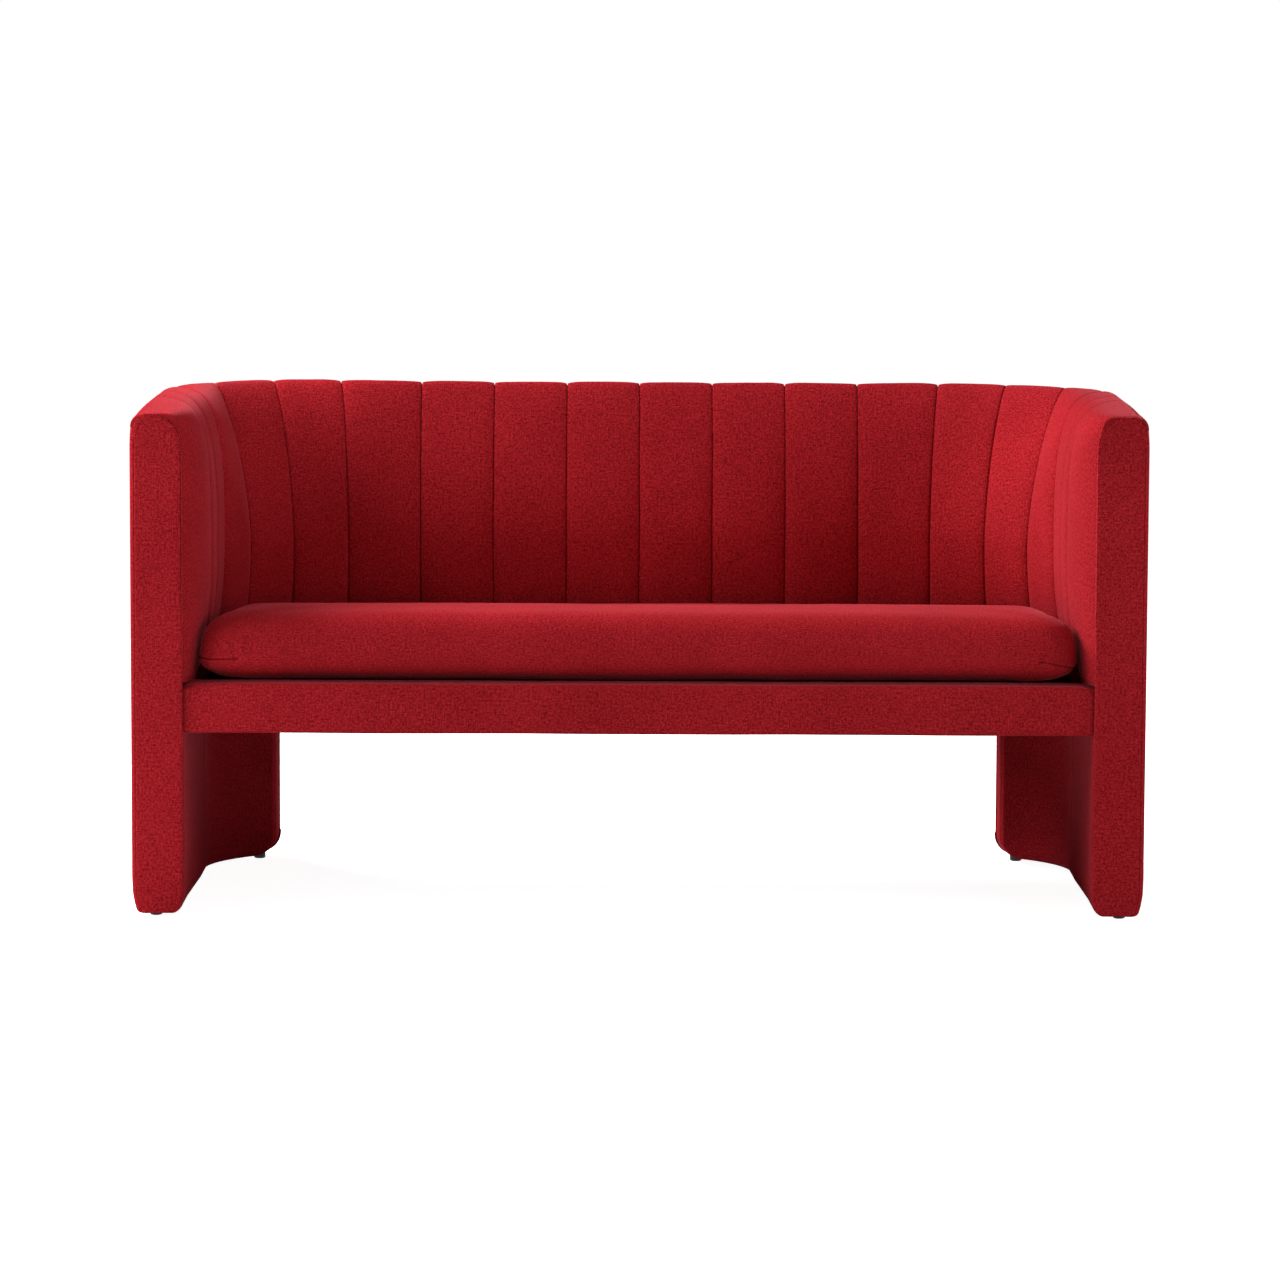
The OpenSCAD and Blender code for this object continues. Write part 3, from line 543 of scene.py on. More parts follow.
def curve_at(run, half_back, centre_y, radius):
    """A point on a U with a straight back, round corners and straight arms, and its turn."""
    turn = np.clip((run - half_back) / radius, 0, math.pi / 2)
    x = np.minimum(run, half_back) + radius * np.sin(turn)
    past = np.maximum(0, run - half_back - radius * math.pi / 2)
    return np.stack([x, centre_y + radius * np.cos(turn) - past], -1), turn


# %% The padding's surface
LIP_STEPS, UPPER_STEPS, LOWER_STEPS = 16, 34, 18
CHANNEL_SHARES = [0, 0.008, 0.017, 0.03, 0.05, 0.08, 0.12, 0.18, 0.26, 0.37,
                  0.5, 0.63, 0.74, 0.82, 0.88, 0.92, 0.95, 0.97, 0.983, 0.992]


def fullness(k):
    """Exponent of the padding's section: slack at the corners, square at the arm fronts."""
    arm = np.clip(k - CORNER_END_K, 0, 1) * (ARM_FULLNESS - CORNER_FULLNESS)
    front = np.clip(k - FRONT_K, 0, 1) * (FRONT_FULLNESS - ARM_FULLNESS)
    return CORNER_FULLNESS + arm + front


def padding_column(k):
    """Points of the padding at channel number k, from the outer lip over the ridge and down."""
    ridge, turn = curve_at(run_at(k, RIDGE_LEAD, RIDGE_CHANNEL_W, RIDGE_LEN),
                           CORNER_X, CORNER_Y, RIDGE_R)
    bulge, _ = curve_at(run_at(k, BULGE_LEAD, ARM_CHANNEL_W, BULGE_LEN),
                        BULGE_X, BULGE_Y, BULGE_R)
    inward = np.array([-math.sin(turn), -math.cos(turn)])
    slim = 1 - math.cos(math.pi / 2 * max(0, k - FRONT_K))
    bulge = bulge + [(PAD_IN + ARM_SWELL - FRONT_W) * slim, 0]
    share = k - math.floor(k)
    hump = 0 if k >= END_K else 1 - abs(2 * share - 1) ** CHANNEL_SQUARENESS
    drop = BULGE_DROP + (FRONT_BULGE_DROP - BULGE_DROP) * slim
    top = RIDGE_Z - RIDGE_DIP * (1 - hump) * (1 - slim) - FRONT_RIDGE_DROP * slim
    power = 2 / fullness(k)
    points = []
    for angle in np.linspace(0, math.pi / 2, LIP_STEPS):
        x, y = ridge - RIDGE_IN * math.cos(angle) * inward
        points.append((x, y, FRAME_TOP + (top - FRAME_TOP) * math.sin(angle)))
    section = [(math.sin(angle) ** power, BULGE_Z + (top - BULGE_Z) * math.cos(angle) ** power)
               for angle in np.linspace(0, math.pi / 2, UPPER_STEPS)[1:]]
    section += [(math.sqrt(1 - ((BULGE_Z - z) / drop) ** 2), z)
                for z in np.linspace(BULGE_Z, DECK_Z, LOWER_STEPS)[1:]]
    for swell, z in section:
        x, y = ridge + swell * (bulge - ridge) + hump * CHANNEL_DEPTH * swell * inward
        points.append((x, y, z))
    back = ridge + (PAD_IN - RIDGE_IN) * inward
    return points, [(*back, DECK_Z), (*back, FRAME_TOP)]


PAD_WRAPS = (0.0006, 0.001, 0.001, 0.0008, 0.0006)
half_places = [k + share for k in range(END_K) for share in CHANNEL_SHARES] + [END_K]
half_columns = [padding_column(np.float64(k)) for k in half_places]
half_skin = np.array([front for front, _ in half_columns])
half_back = np.array([behind for _, behind in half_columns])
for forward in PAD_WRAPS:
    half_skin = np.concatenate([half_skin, half_skin[-1:] - [0, forward, 0]])
    half_back = np.concatenate([half_back, half_back[-1:]])
    half_places.append(END_K)
MIRROR_X = np.array([-1, 1, 1])
skin = np.concatenate([half_skin[:0:-1] * MIRROR_X, half_skin])
behind = np.concatenate([half_back[:0:-1] * MIRROR_X, half_back])
places = np.array([-k for k in half_places[:0:-1]] + half_places)
print("padding grid", skin.shape)

# %% [markdown]
# Now the sewing. Near each seam the cloth is pulled down into a narrow crease, and the wadding
# rolls up beside it. Each point's distance to its nearest seam is measured along the surface, so
# the crease stays equally narrow where the channels fan out. The crease wanders a little, as a
# real seam does, and the padding between has a slight unevenness. A second seam runs along the
# outer side of the top, and the padding ends in a tuck below it.

# %% Seams in the padding
SEAM_ROLL_W, SEAM_ROLL = 0.011, 0.0016
CREASE_W, CREASE = 0.0017, 0.0032
SEAM_WANDER, WANDER_W = 0.0009, 0.012
TUG = 0.3
PAD_WAVES = ((9.0, 0.0011, 2.0), (42.0, 0.00035, 7.0))
CALM_W, LIP_CALM_W = 0.02, 0.01
EDGE_ROLL_R, EDGE_ROLL = 0.009, 0.0024
TOP_SEAM_UP, TOP_SEAM_FADE = 0.0265, 0.005
TOP_SEAM_W, TOP_SEAM = 0.0016, 0.0030
TOP_PULL_W, TOP_PULL = 0.004, 0.0009
LIP_W = 0.004
TOP_TUCK, TOP_TUCK_H, LIP_TUCK_W = 0.0016, 0.027, 0.012
LEFT_RIDGE_LIFT, LEFT_LIFT_K, LEFT_LIFT_SPREAD = 0.003, -5.5, 2.3

lengths = grid_lengths(skin, 0)
seam_columns = [i for i, k in enumerate(places) if k == round(k) and abs(k) < END_K]
gaps = np.stack([lengths - lengths[i] for i in seam_columns])
nearest = np.argmin(np.abs(gaps), axis=0)
seam_distance = np.abs(np.take_along_axis(gaps, nearest[None], 0)[0])
down = grid_lengths(skin, 1)
normals = grid_normals(skin)
normals *= np.sign(normals[len(places) // 2, LIP_STEPS, 2])
sideways = np.gradient(skin, axis=0)
sideways /= np.maximum(np.linalg.norm(sideways, axis=2, keepdims=True), 1e-12)

seam_points = np.stack([nearest * 3.7, down * 9, np.zeros_like(down)], -1)
wander = uneven(seam_points, 1.0) * SEAM_WANDER
tug = 1 + TUG * uneven(seam_points * [1, 12, 1], 1.0, 5.0)
past_top_seam = fade_in(down - TOP_SEAM_UP, TOP_SEAM_FADE)
roll = SEAM_ROLL * np.exp(-seam_distance / (SEAM_ROLL_W / 2)) * tug * past_top_seam
crease = rolled(seam_distance, CREASE_W, CREASE) * past_top_seam
front_distance = np.abs(skin[:, :, 1] - SHELL_FRONT_Y + sum(PAD_WRAPS))
front_distance = np.where(np.abs(places)[:, None] > FRONT_K, front_distance, 1.0)
top_seam_distance = np.abs(down - TOP_SEAM_UP)
sink = roll + crease + rolled(front_distance, EDGE_ROLL_R, EDGE_ROLL)
sink += rolled(top_seam_distance, TOP_SEAM_W, TOP_SEAM)
sink += TOP_PULL * np.exp(-top_seam_distance / TOP_PULL_W)
sink *= fade_in(down, LIP_W)
sink += TOP_TUCK * np.exp(-down / LIP_TUCK_W)
calm = fade_in(seam_distance, CALM_W) * fade_in(front_distance, CALM_W) * fade_in(down, LIP_CALM_W)
sewn = skin + normals * (wadding(skin, *PAD_WAVES) * calm - sink)[:, :, None]
sewn += sideways * (wander * np.exp(-seam_distance / WANDER_W))[:, :, None]
fuller = LEFT_RIDGE_LIFT * np.exp(-(((places - LEFT_LIFT_K) / LEFT_LIFT_SPREAD) ** 2))
sewn[:, :, 2] += fuller[:, None] * fade_in(sewn[:, :, 2] - FRAME_TOP, RIDGE_Z - FRAME_TOP)
sewn[:, :, 2] = np.maximum(sewn[:, :, 2], DECK_Z)
sewn[:, :, 1] = np.maximum(sewn[:, :, 1], SHELL_FRONT_Y - sum(PAD_WRAPS))
print("seams", len(seam_columns), "deepest sink", round(float(sink.max()), 4))

# %% Three padding pieces
PAD_FILL = 0.85
PAD_BACK_WIDTHS = (0.05, 0.4)


def padding_piece(name, first, last, node):
    """The padding between two columns, closed behind and at its ends."""
    rings = np.concatenate([sewn[first:last + 1], behind[first:last + 1]], 1)
    count, around = rings.shape[:2]
    faces = grid_faces(count, around, closed=True)
    spine = around - 1
    for start in (0, (count - 1) * around):
        faces += [(start + j, start + j + 1, start + spine) for j in range(around - 2)]
    across = np.repeat(lengths[first:last + 1, :].mean(1)[:, None], around, 1)
    tail = down[first:last + 1, -1:] + [PAD_BACK_WIDTHS]
    up = np.concatenate([down[first:last + 1], tail], 1)
    uvs = np.stack([across, up], -1).reshape(-1, 2)
    piece = mesh_object(name, rings.reshape(-1, 3), faces, uvs)
    wear(piece, "frame", "red_wool", node, fill=PAD_FILL)


seam_left = int(np.flatnonzero(places == -ARM_K)[0])
seam_right = int(np.flatnonzero(places == ARM_K)[0])
padding_piece("padding_left", 0, seam_left, "arm_pad_left")
padding_piece("padding_back", seam_left, seam_right, "back_pad")
padding_piece("padding_right", seam_right, len(places) - 1, "arm_pad_right")

# %% [markdown]
# ## The outer covers and the legs' inner covers
# These panels follow the shell's wall. A panel is a grid of points on the wall, and each point
# sinks by its distance to the panel's own edge: a wide roll along the hem, and a tight one at the
# seams. At a leg's rear end the edge turns a round lower corner, so the lowest row climbs it.

# %% Places along the wall
HEM_R = 0.015
LEG_HEM_R, LEG_HEM_H, LEG_HEM_IN = 0.010, 0.034, 0.0064
HEM_H, HEM_IN, HEM_CORNER_R = 0.045, 0.0078, 0.0045
HEM_SAG, SAG_H = 0.0027, 0.02
TURN_UNDER = 0.005
WALL_STRAIGHT = CORNER_Y - SHELL_FRONT_Y
WALL_TURN = CORNER_R * math.pi / 2


def wall_point(run, depth):
    """Points on the right wall in plan, so far behind its front and so deep, and their normals."""
    turn = np.clip((run - WALL_STRAIGHT) / CORNER_R, 0, math.pi / 2)
    past = np.maximum(0, run - WALL_STRAIGHT - WALL_TURN)
    out = np.stack([np.cos(turn), np.sin(turn)], -1)
    radius = CORNER_R - depth
    x = CORNER_X + radius * out[..., 0] - past
    y = CORNER_Y + radius * out[..., 1] - np.maximum(0, WALL_STRAIGHT - run)
    return np.stack([x, y], -1), out


def run_of_x(x, depth):
    """How far along the wall its point at this depth and X in the corner lies."""
    return WALL_STRAIGHT + CORNER_R * math.acos((x - CORNER_X) / (CORNER_R - depth))


def leg_edge(x):
    """Lowest height of a leg's cover at an X, round its rear lower corner."""
    aside = np.clip(LEG_END_X + LEG_END_R - x, 0, LEG_END_R)
    return LEG_LIFT + LEG_END_R - np.sqrt(LEG_END_R**2 - aside**2)


def edge_distance(x, z):
    """Distance of a point on a leg's cover from its lower edge, and from its rear end."""
    centre_x, centre_z = LEG_END_X + LEG_END_R, LEG_LIFT + LEG_END_R
    corner = LEG_END_R - np.hypot(x - centre_x, z - centre_z)
    in_corner = (x < centre_x) & (z < centre_z)
    below = np.where(in_corner, corner, z - LEG_LIFT)
    beside = np.where(in_corner, corner, np.abs(x - LEG_END_X))
    return below, beside


# %% Hems and tucks
def tapered_hem(below):
    """The outer cover's hem: a long taper inwards, then a small round."""
    return HEM_IN * fade_out(below, HEM_H) ** 2.2 + rolled(below, HEM_CORNER_R, HEM_CORNER_R)


def round_hem(below):
    """The lining's hem: a quarter round that starts with a slight taper."""
    return LEG_HEM_IN * fade_out(below, LEG_HEM_H) ** 1.6 + rolled(below, LEG_HEM_R, LEG_HEM_R)


def top_tuck(z):
    """How far the outer covers are pulled in towards the padding's lip."""
    return TOP_TUCK * np.clip((z - FRAME_TOP) / TOP_TUCK_H + 1, 0, 1) ** 1.5


def turned_under(points, out, outwards=1):
    """The panel with one row more, where the cloth turns under the wall."""
    under = points[:, :1].copy()
    under[:, 0, :2] -= out * (outwards * TURN_UNDER)
    return np.concatenate([under, points], 1)


# %% Panels of the legs and sides
FRONT_STEPS = np.array([0, 0.0004, 0.001, 0.002, 0.0034, 0.005, 0.007, 0.0095, 0.014, 0.022])
LOW_STEPS = np.array([0, 0.0006, 0.0018, 0.004, 0.0075, 0.012, 0.017, 0.025])
LEG_ROWS = np.concatenate([LOW_STEPS, np.linspace(0.04, 0.96, 30),
                           1 - np.array([0.025, 0.013, 0.007, 0.0035, 0.0015, 0])])
LEG_SEAM_RUN, LEG_SEAM_WANDER = 0.372, 0.002
LEG_SEAM_STEPS = np.linspace(-0.007, 0.007, 22)
LEG_SEAM_FADE_Z, LEG_SEAM_FADE_H, LEG_SEAM_FAINT = 0.07, 0.12, 0.12
LEG_SEAM_W, LEG_SEAM = 0.0024, 0.0036
LEG_PULL_W, LEG_PULL = 0.007, 0.0016
TAPER_END, TAPER_FADE = 0.12, 0.20
END_ROLL_R = 0.007
FRONT_SEAM_R = 0.0105
WRAP_FORWARD, FACING_INSET = 0.0058, 0.0072
LINING_FRONT_SINK = 0.0022
LINING_OVERLAP = 0.005
LEG_CALM_W = 0.03


def leg_seam(runs, z, flat):
    """The upright seam in a leg's lining, which fades towards the floor."""
    seam_run = LEG_SEAM_RUN + LEG_SEAM_WANDER * uneven(flat * [0, 0, 1], 9.0, 4.0)
    strength = np.clip((z - LEG_SEAM_FADE_Z) / LEG_SEAM_FADE_H, LEG_SEAM_FAINT, 1)
    beside = np.abs(runs[:, None] - seam_run)
    return strength * (rolled(beside, LEG_SEAM_W, LEG_SEAM)
                       + LEG_PULL * np.exp(-beside / LEG_PULL_W))


def leg_panel(name, node, side, depth, outwards, top, hem, hem_r, wrap, front_sink):
    """A cover panel from the arm front to the leg's rear end. outwards is -1 on the inner face."""
    last_run = run_of_x(LEG_END_X, depth)
    corner_run = run_of_x(LEG_END_X + LEG_END_R, depth)
    swing = np.linspace(0, math.pi / 2, 16)[1:]
    middle = np.sort(np.concatenate([np.linspace(0.03, corner_run, 56),
                                     LEG_SEAM_RUN + LEG_SEAM_STEPS]))
    corner = [run_of_x(LEG_END_X + LEG_END_R * (1 - math.sin(a)), depth) for a in swing]
    runs = np.concatenate([FRONT_STEPS - wrap, middle, corner])
    runs[-1] = last_run
    plan, out = wall_point(runs, depth)
    low = leg_edge(plan[:, 0])
    z = low[:, None] + LEG_ROWS[None] * (top - low)[:, None]
    x = np.repeat(plan[:, :1], len(LEG_ROWS), 1)
    flat = np.stack([x, np.repeat(plan[:, 1:], len(LEG_ROWS), 1), z], -1)
    below, beside = edge_distance(x, z)
    rearward = fade_in(runs[:, None] - TAPER_END, TAPER_FADE)
    at_end = fade_in(runs[:, None] - corner_run, last_run - corner_run)
    rear_r = hem_r + (END_ROLL_R - hem_r) * at_end
    sink = hem(below) * (1 - rearward) + rolled(below, rear_r, rear_r) * rearward
    sink = np.maximum(sink, rolled(beside, END_ROLL_R, END_ROLL_R))
    if outwards > 0:
        sink = sink + top_tuck(z)
    sink = sink + rolled(runs[:, None] + wrap + 0 * z, FRONT_SEAM_R, front_sink)
    if outwards < 0:
        sink = sink + leg_seam(runs, z, flat)
    soft = wadding(flat, (6.0, 0.0008, 11.0 + side), (30.0, 0.0002, 3.0))
    calm = fade_in(below, LEG_CALM_W) * fade_in(beside, LEG_CALM_W)
    calm *= fade_in(runs, LEG_CALM_W)[:, None]
    points = flat.copy()
    points[:, :, :2] += out[:, None, :] * ((soft * calm - sink) * outwards)[:, :, None]
    points[:, :, 2] -= HEM_SAG * fade_out(below, SAG_H)
    points = turned_under(points, out, outwards)
    points[:, :, 0] *= side
    panel(name, node, points, (side * outwards, outwards, 0))


for side, word in SIDES:
    leg_panel(f"outer_cover_{word}", f"outer_side_cover_{word}", side, 0.0, 1,
              FRAME_TOP, tapered_hem, HEM_R, WRAP_FORWARD, FACING_INSET)
    leg_panel(f"leg_lining_{word}", f"leg_inner_cover_{word}", side, LEG_W, -1,
              SEAT_UNDER + LINING_OVERLAP, round_hem, LEG_HEM_R, 0.0, LINING_FRONT_SINK)

# %% [markdown]
# The back panel spans between the two side panels, from the seat's underside up to the padding.
# It is one grid along the wall, with the same rolls at its four edges.

# %% Outer back cover
SEAM_R, SEAM_SINK = 0.0045, 0.0035
BACK_CALM_W = 0.04
BACK_EDGE_STEPS = np.array([0, 0.0006, 0.0015, 0.003, 0.005, 0.009, 0.018])
BACK_TOP_STEPS = np.array([0.01, 0.005, 0.0025, 0.001, 0])


def back_panel():
    """The outer cover across the back, between the two vertical seams."""
    end = run_of_x(LEG_END_X, 0.0)
    middle = WALL_STRAIGHT + WALL_TURN + CORNER_X
    half = np.concatenate([end + BACK_EDGE_STEPS, np.linspace(end + 0.03, middle, 60)])
    plan, out = wall_point(half, 0.0)
    plan = np.concatenate([plan, plan[-2::-1] * [-1, 1]])
    out = np.concatenate([out, out[-2::-1] * [-1, 1]])
    to_seam = (np.concatenate([half, half[-2::-1]]) - end)[:, None]
    tall = FRAME_TOP - SEAT_UNDER
    rows = np.concatenate([LOW_STEPS / tall, np.linspace(0.08, 0.95, 30),
                           1 - BACK_TOP_STEPS / tall])
    z = SEAT_UNDER + rows * tall
    flat = np.concatenate([np.repeat(plan[:, None], len(rows), 1),
                           np.repeat(z[None, :, None], len(plan), 0)], -1)
    sink = np.maximum(rolled(z - SEAT_UNDER, HEM_R, HEM_R)[None],
                      rolled(to_seam, SEAM_R, SEAM_SINK)) + top_tuck(z)[None]
    calm = fade_in(to_seam, BACK_CALM_W) * fade_in(z - SEAT_UNDER, BACK_CALM_W)
    soft = wadding(flat, (5.0, 0.0009, 21.0))
    points = flat.copy()
    points[:, :, :2] += out[:, None] * (soft * calm - sink)[:, :, None]
    panel("outer_cover_back", "outer_back_cover", turned_under(points, out), (0, 1, 0))


back_panel()

# %% [markdown]
# ## The padded end of each leg
# Seen from behind, each leg ends in a narrow upright panel between the outer cover and the
# lining. It runs down, round the lower corner and a little way under. It bulges slightly, and its
# long edges sink to the seams on both sides.

# %% Leg ends
LEG_END_SWELL = 0.0022
LEG_END_ROLL_R, LEG_END_ROLL = 0.006, 0.004
LEG_END_LAP = 0.001
LEG_END_UP = 0.004
LEG_END_SHARES = np.array([0, 0.008, 0.02, 0.045, 0.09])


def leg_end(side, word):
    """The narrow padded panel that closes a leg's rear end."""
    centre_x, centre_z = LEG_END_X + LEG_END_R, LEG_LIFT + LEG_END_R
    path = [(LEG_END_X, z, -1.0, 0.0) for z in np.linspace(SEAT_UNDER + LEG_END_UP, centre_z, 26)]
    for angle in np.linspace(0, math.pi / 2, 14)[1:]:
        aside, below = math.cos(angle), math.sin(angle)
        path.append((centre_x - LEG_END_R * aside, centre_z - LEG_END_R * below, -aside, -below))
    path = np.array(path)
    across = np.concatenate([LEG_END_SHARES, np.linspace(0.16, 0.84, 9),
                             1 - LEG_END_SHARES[::-1]])
    first, last = END_ROLL_R - LEG_END_LAP, LEG_W - END_ROLL_R + LEG_END_LAP
    wide = last - first
    edge = np.minimum(across, 1 - across) * wide
    lift = LEG_END_SWELL * np.sin(np.pi * across) - rolled(edge, LEG_END_ROLL_R, LEG_END_ROLL)
    points = np.zeros((len(path), len(across), 3))
    for j, (depth, up) in enumerate(zip(first + across * wide, lift)):
        x = path[:, 0] + path[:, 2] * up
        inside = np.clip((x - CORNER_X) / (CORNER_R - depth), -1, 1)
        points[:, j, 0] = x * side
        points[:, j, 1] = CORNER_Y + (CORNER_R - depth) * np.sqrt(1 - inside**2)
        points[:, j, 2] = path[:, 1] + path[:, 3] * up
    uvs = np.stack([grid_lengths(points, 1), grid_lengths(points, 0)], -1)
    panel(f"leg_end_{word}", f"leg_end_cover_{word}", points, (-side, 0, -0.2), uvs)


for side, word in SIDES:
    leg_end(side, word)

# %% [markdown]
# ## The arm fronts
# Each arm front is one padded panel down to the floor, sewn all round. Its outline is a few
# straight lines and four round corners. The panel is a grid between its left and right edge at
# each height, and it sinks to the seam by its true distance from the outline.

# %% Outline of the arm fronts
FACING_OUTER_R = 0.020
FACING_INNER_R = 0.046
FACING_STRAIGHT_TOP = 0.70
TAPER_Z = DECK_Z + 0.090
INNER_INSET = 0.0012
INNER_LEG_W = LEG_W - INNER_INSET
HEM_SPACING = 1.6


def arc(centre, radius, start, end, steps=14):
    """Points round a circle, from one angle to another in degrees."""
    angles = np.radians(np.linspace(start, end, steps))
    return [(centre[0] + radius * math.cos(a), centre[1] + radius * math.sin(a)) for a in angles]


def upper_edge(inset):
    """The arm front's inner edge and top, so far inside the padding's end."""
    top = RIDGE_Z - FRONT_RIDGE_DROP
    corner = (FRONT_W - FACING_INNER_R, top - FACING_INNER_R)
    line = [(FRONT_W - inset, z) for z in np.linspace(TAPER_Z, corner[1], 30)[:-1]]
    line += arc(corner, FACING_INNER_R - inset, 0, 90)
    outer = (FACING_INSET + FACING_OUTER_R, top - inset - FACING_OUTER_R)
    return line + arc(outer, FACING_OUTER_R, 90, 180)


outer_heights = np.concatenate([np.linspace(FACING_STRAIGHT_TOP, LEG_LIFT + HEM_H, 50),
                                LEG_LIFT + HEM_H * np.linspace(1, 0, 30)[1:] ** HEM_SPACING])
hem_heights = LEG_LIFT + LEG_HEM_H * np.linspace(0, 1, 24) ** HEM_SPACING
leg_heights = np.linspace(LEG_LIFT + LEG_HEM_H, SEAT_UNDER, 22)[1:]
outline = np.array(
    upper_edge(INNER_INSET)
    + [(FACING_INSET + tapered_hem(z - LEG_LIFT), z) for z in outer_heights]
    + [(INNER_LEG_W - round_hem(z - LEG_LIFT), z) for z in hem_heights]
    + [(INNER_LEG_W, z) for z in leg_heights]
    + [(INNER_LEG_W + (FRONT_W - LEG_W) * t, SEAT_UNDER + (TAPER_Z - SEAT_UNDER) * t)
       for t in np.linspace(0, 1, 16)[1:-1]]
)
print("facing outline", len(outline), "points")


# %% Measuring an outline
def distance_to_loop(points, loop):
    """Least distance of each 2D point to a closed line."""
    start, end = loop, np.roll(loop, -1, axis=0)
    along = end - start
    square = np.maximum((along**2).sum(1), 1e-12)
    offset = points[:, None] - start[None]
    share = np.clip((offset * along).sum(2) / square, 0, 1)
    return np.sqrt((((offset - share[..., None] * along)) ** 2).sum(2)).min(1)


def loop_span(loop, z):
    """Leftmost and rightmost depth of the outline at a height."""
    start, end = loop, np.roll(loop, -1, axis=0)
    crossing = (start[:, 1] - z) * (end[:, 1] - z) <= 0
    level = end[:, 1] - start[:, 1]
    use = crossing & (np.abs(level) > 1e-12)
    at = start[use, 0] + (z - start[use, 1]) / level[use] * (end[use, 0] - start[use, 0])
    return at.min(), at.max()


# %% Arm front panels
FACING_ROLL_R, FACING_ROLL = 0.0065, 0.0026
OUTER_ROLL_R, OUTER_ROLL = 0.004, 0.0008
FACING_CREASE_W, FACING_CREASE = 0.0014, 0.0010
FACING_CROWN_W, FACING_CROWN = 0.032, 0.0008
FACING_EDGE_W, FACING_EDGE_FADE = 0.004, 0.02
FACING_CALM_W = 0.02
FACING_FILL = 0.7
FACING_STEPS = np.array([0.00002, 0.0004, 0.0011, 0.0022, 0.0038, 0.006, 0.009, 0.0135, 0.02])
FACING_SHARES = np.array([0, 0.006, 0.015, 0.03, 0.055, 0.09, 0.14, 0.21, 0.3, 0.4])


def facing(side, word):
    """One arm front, padded and sunk to the seam round its outline."""
    low, high = outline[:, 1].min(), outline[:, 1].max()
    heights = np.concatenate([low + FACING_STEPS, np.linspace(low + 0.03, high - 0.03, 60),
                              (high - FACING_STEPS)[::-1]])
    across = np.concatenate([FACING_SHARES, [0.5], 1 - FACING_SHARES[::-1]])
    depth, z = np.zeros((2, len(heights), len(across)))
    for i, height in enumerate(heights):
        left, right = loop_span(outline, height)
        depth[i] = left + across * (right - left)
        z[i] = height
    flat = np.stack([depth, z], -1)
    distance = distance_to_loop(flat.reshape(-1, 2), outline).reshape(z.shape)
    distance[:, [0, -1]] = 0
    place = np.stack([depth, z, np.full(z.shape, 3.0 * side)], -1)
    soft = wadding(place, (12.0, 0.0006, 31.0)) * fade_in(distance, FACING_CALM_W)
    inner = fade_in(depth - FACING_INSET - FACING_EDGE_W, FACING_EDGE_FADE)
    radius = OUTER_ROLL_R + (FACING_ROLL_R - OUTER_ROLL_R) * inner
    roll = OUTER_ROLL + (FACING_ROLL - OUTER_ROLL) * inner
    y = FRONT_Y + FACING_CROWN * (1 - fade_in(distance, FACING_CROWN_W)) ** 2
    y = y + rolled(distance, radius, 1.0) * roll - soft
    y = y + rolled(distance, FACING_CREASE_W, FACING_CREASE)
    z = z - HEM_SAG * fade_out(z - LEG_LIFT, SAG_H)
    points = np.stack([side * (HALF_W - depth), y, z], -1)
    panel(f"arm_front_{word}", f"front_facing_{word}", points, (0, -1, 0), points[:, :, [0, 2]],
          THICK_CLOTH, FACING_FILL)


for side, word in SIDES:
    facing(side, word)

# %% [markdown]
# ## Stitches round the arm fronts
# The arm fronts are closed by hand with a row of small stitches along their top and inner edge.
# A row of stitches is the same small shape again and again along a line, which is work for
# Geometry Nodes: resample the line, set a stitch on each point, and turn it along the line.

# %% A stitching tree
STITCH_SIZES = {"Pitch": 0.0045, "Length": 0.0027, "Radius": 0.00042}


def stitch_tree(material):
    """A node tree that turns a line of edges into a row of stitches."""
    tree = bpy.data.node_groups.new("stitch_row", "GeometryNodeTree")
    tree.interface.new_socket("Geometry", in_out="INPUT", socket_type="NodeSocketGeometry")
    for name, value in STITCH_SIZES.items():
        socket = tree.interface.new_socket(name, in_out="INPUT", socket_type="NodeSocketFloat")
        socket.default_value = value
    tree.interface.new_socket("Geometry", in_out="OUTPUT", socket_type="NodeSocketGeometry")
    nodes = Nodes(tree)
    given = nodes.add("NodeGroupInput").outputs
    line = nodes.add("GeometryNodeMeshToCurve", Mesh=given["Geometry"])
    points = nodes.add("GeometryNodeResampleCurve", mode="LENGTH", Curve=line.outputs["Curve"],
                       Length=given["Pitch"])
    tangent = nodes.add("GeometryNodeInputTangent")
    turn = nodes.add("FunctionNodeAlignRotationToVector", axis="Z", Vector=tangent.outputs[0])
    ball = nodes.add("GeometryNodeMeshUVSphere", Segments=6, Rings=5, Radius=1.0)
    size = nodes.add("ShaderNodeCombineXYZ", X=given["Radius"], Y=given["Radius"],
                     Z=nodes.sums("MULTIPLY", given["Length"], 0.5))
    stitch = nodes.add("GeometryNodeTransform", Geometry=ball.outputs["Mesh"],
                       Scale=size.outputs[0])
    row = nodes.add("GeometryNodeInstanceOnPoints", Points=points.outputs["Curve"],
                    Instance=stitch.outputs["Geometry"], Rotation=turn.outputs["Rotation"])
    real = nodes.add("GeometryNodeRealizeInstances", Geometry=row.outputs["Instances"])
    smooth = nodes.add("GeometryNodeSetShadeSmooth", Geometry=real.outputs["Geometry"])
    finish = nodes.add("GeometryNodeSetMaterial", Geometry=smooth.outputs["Geometry"],
                       Material=material)
    nodes.add("NodeGroupOutput", Geometry=finish.outputs["Geometry"])
    return tree


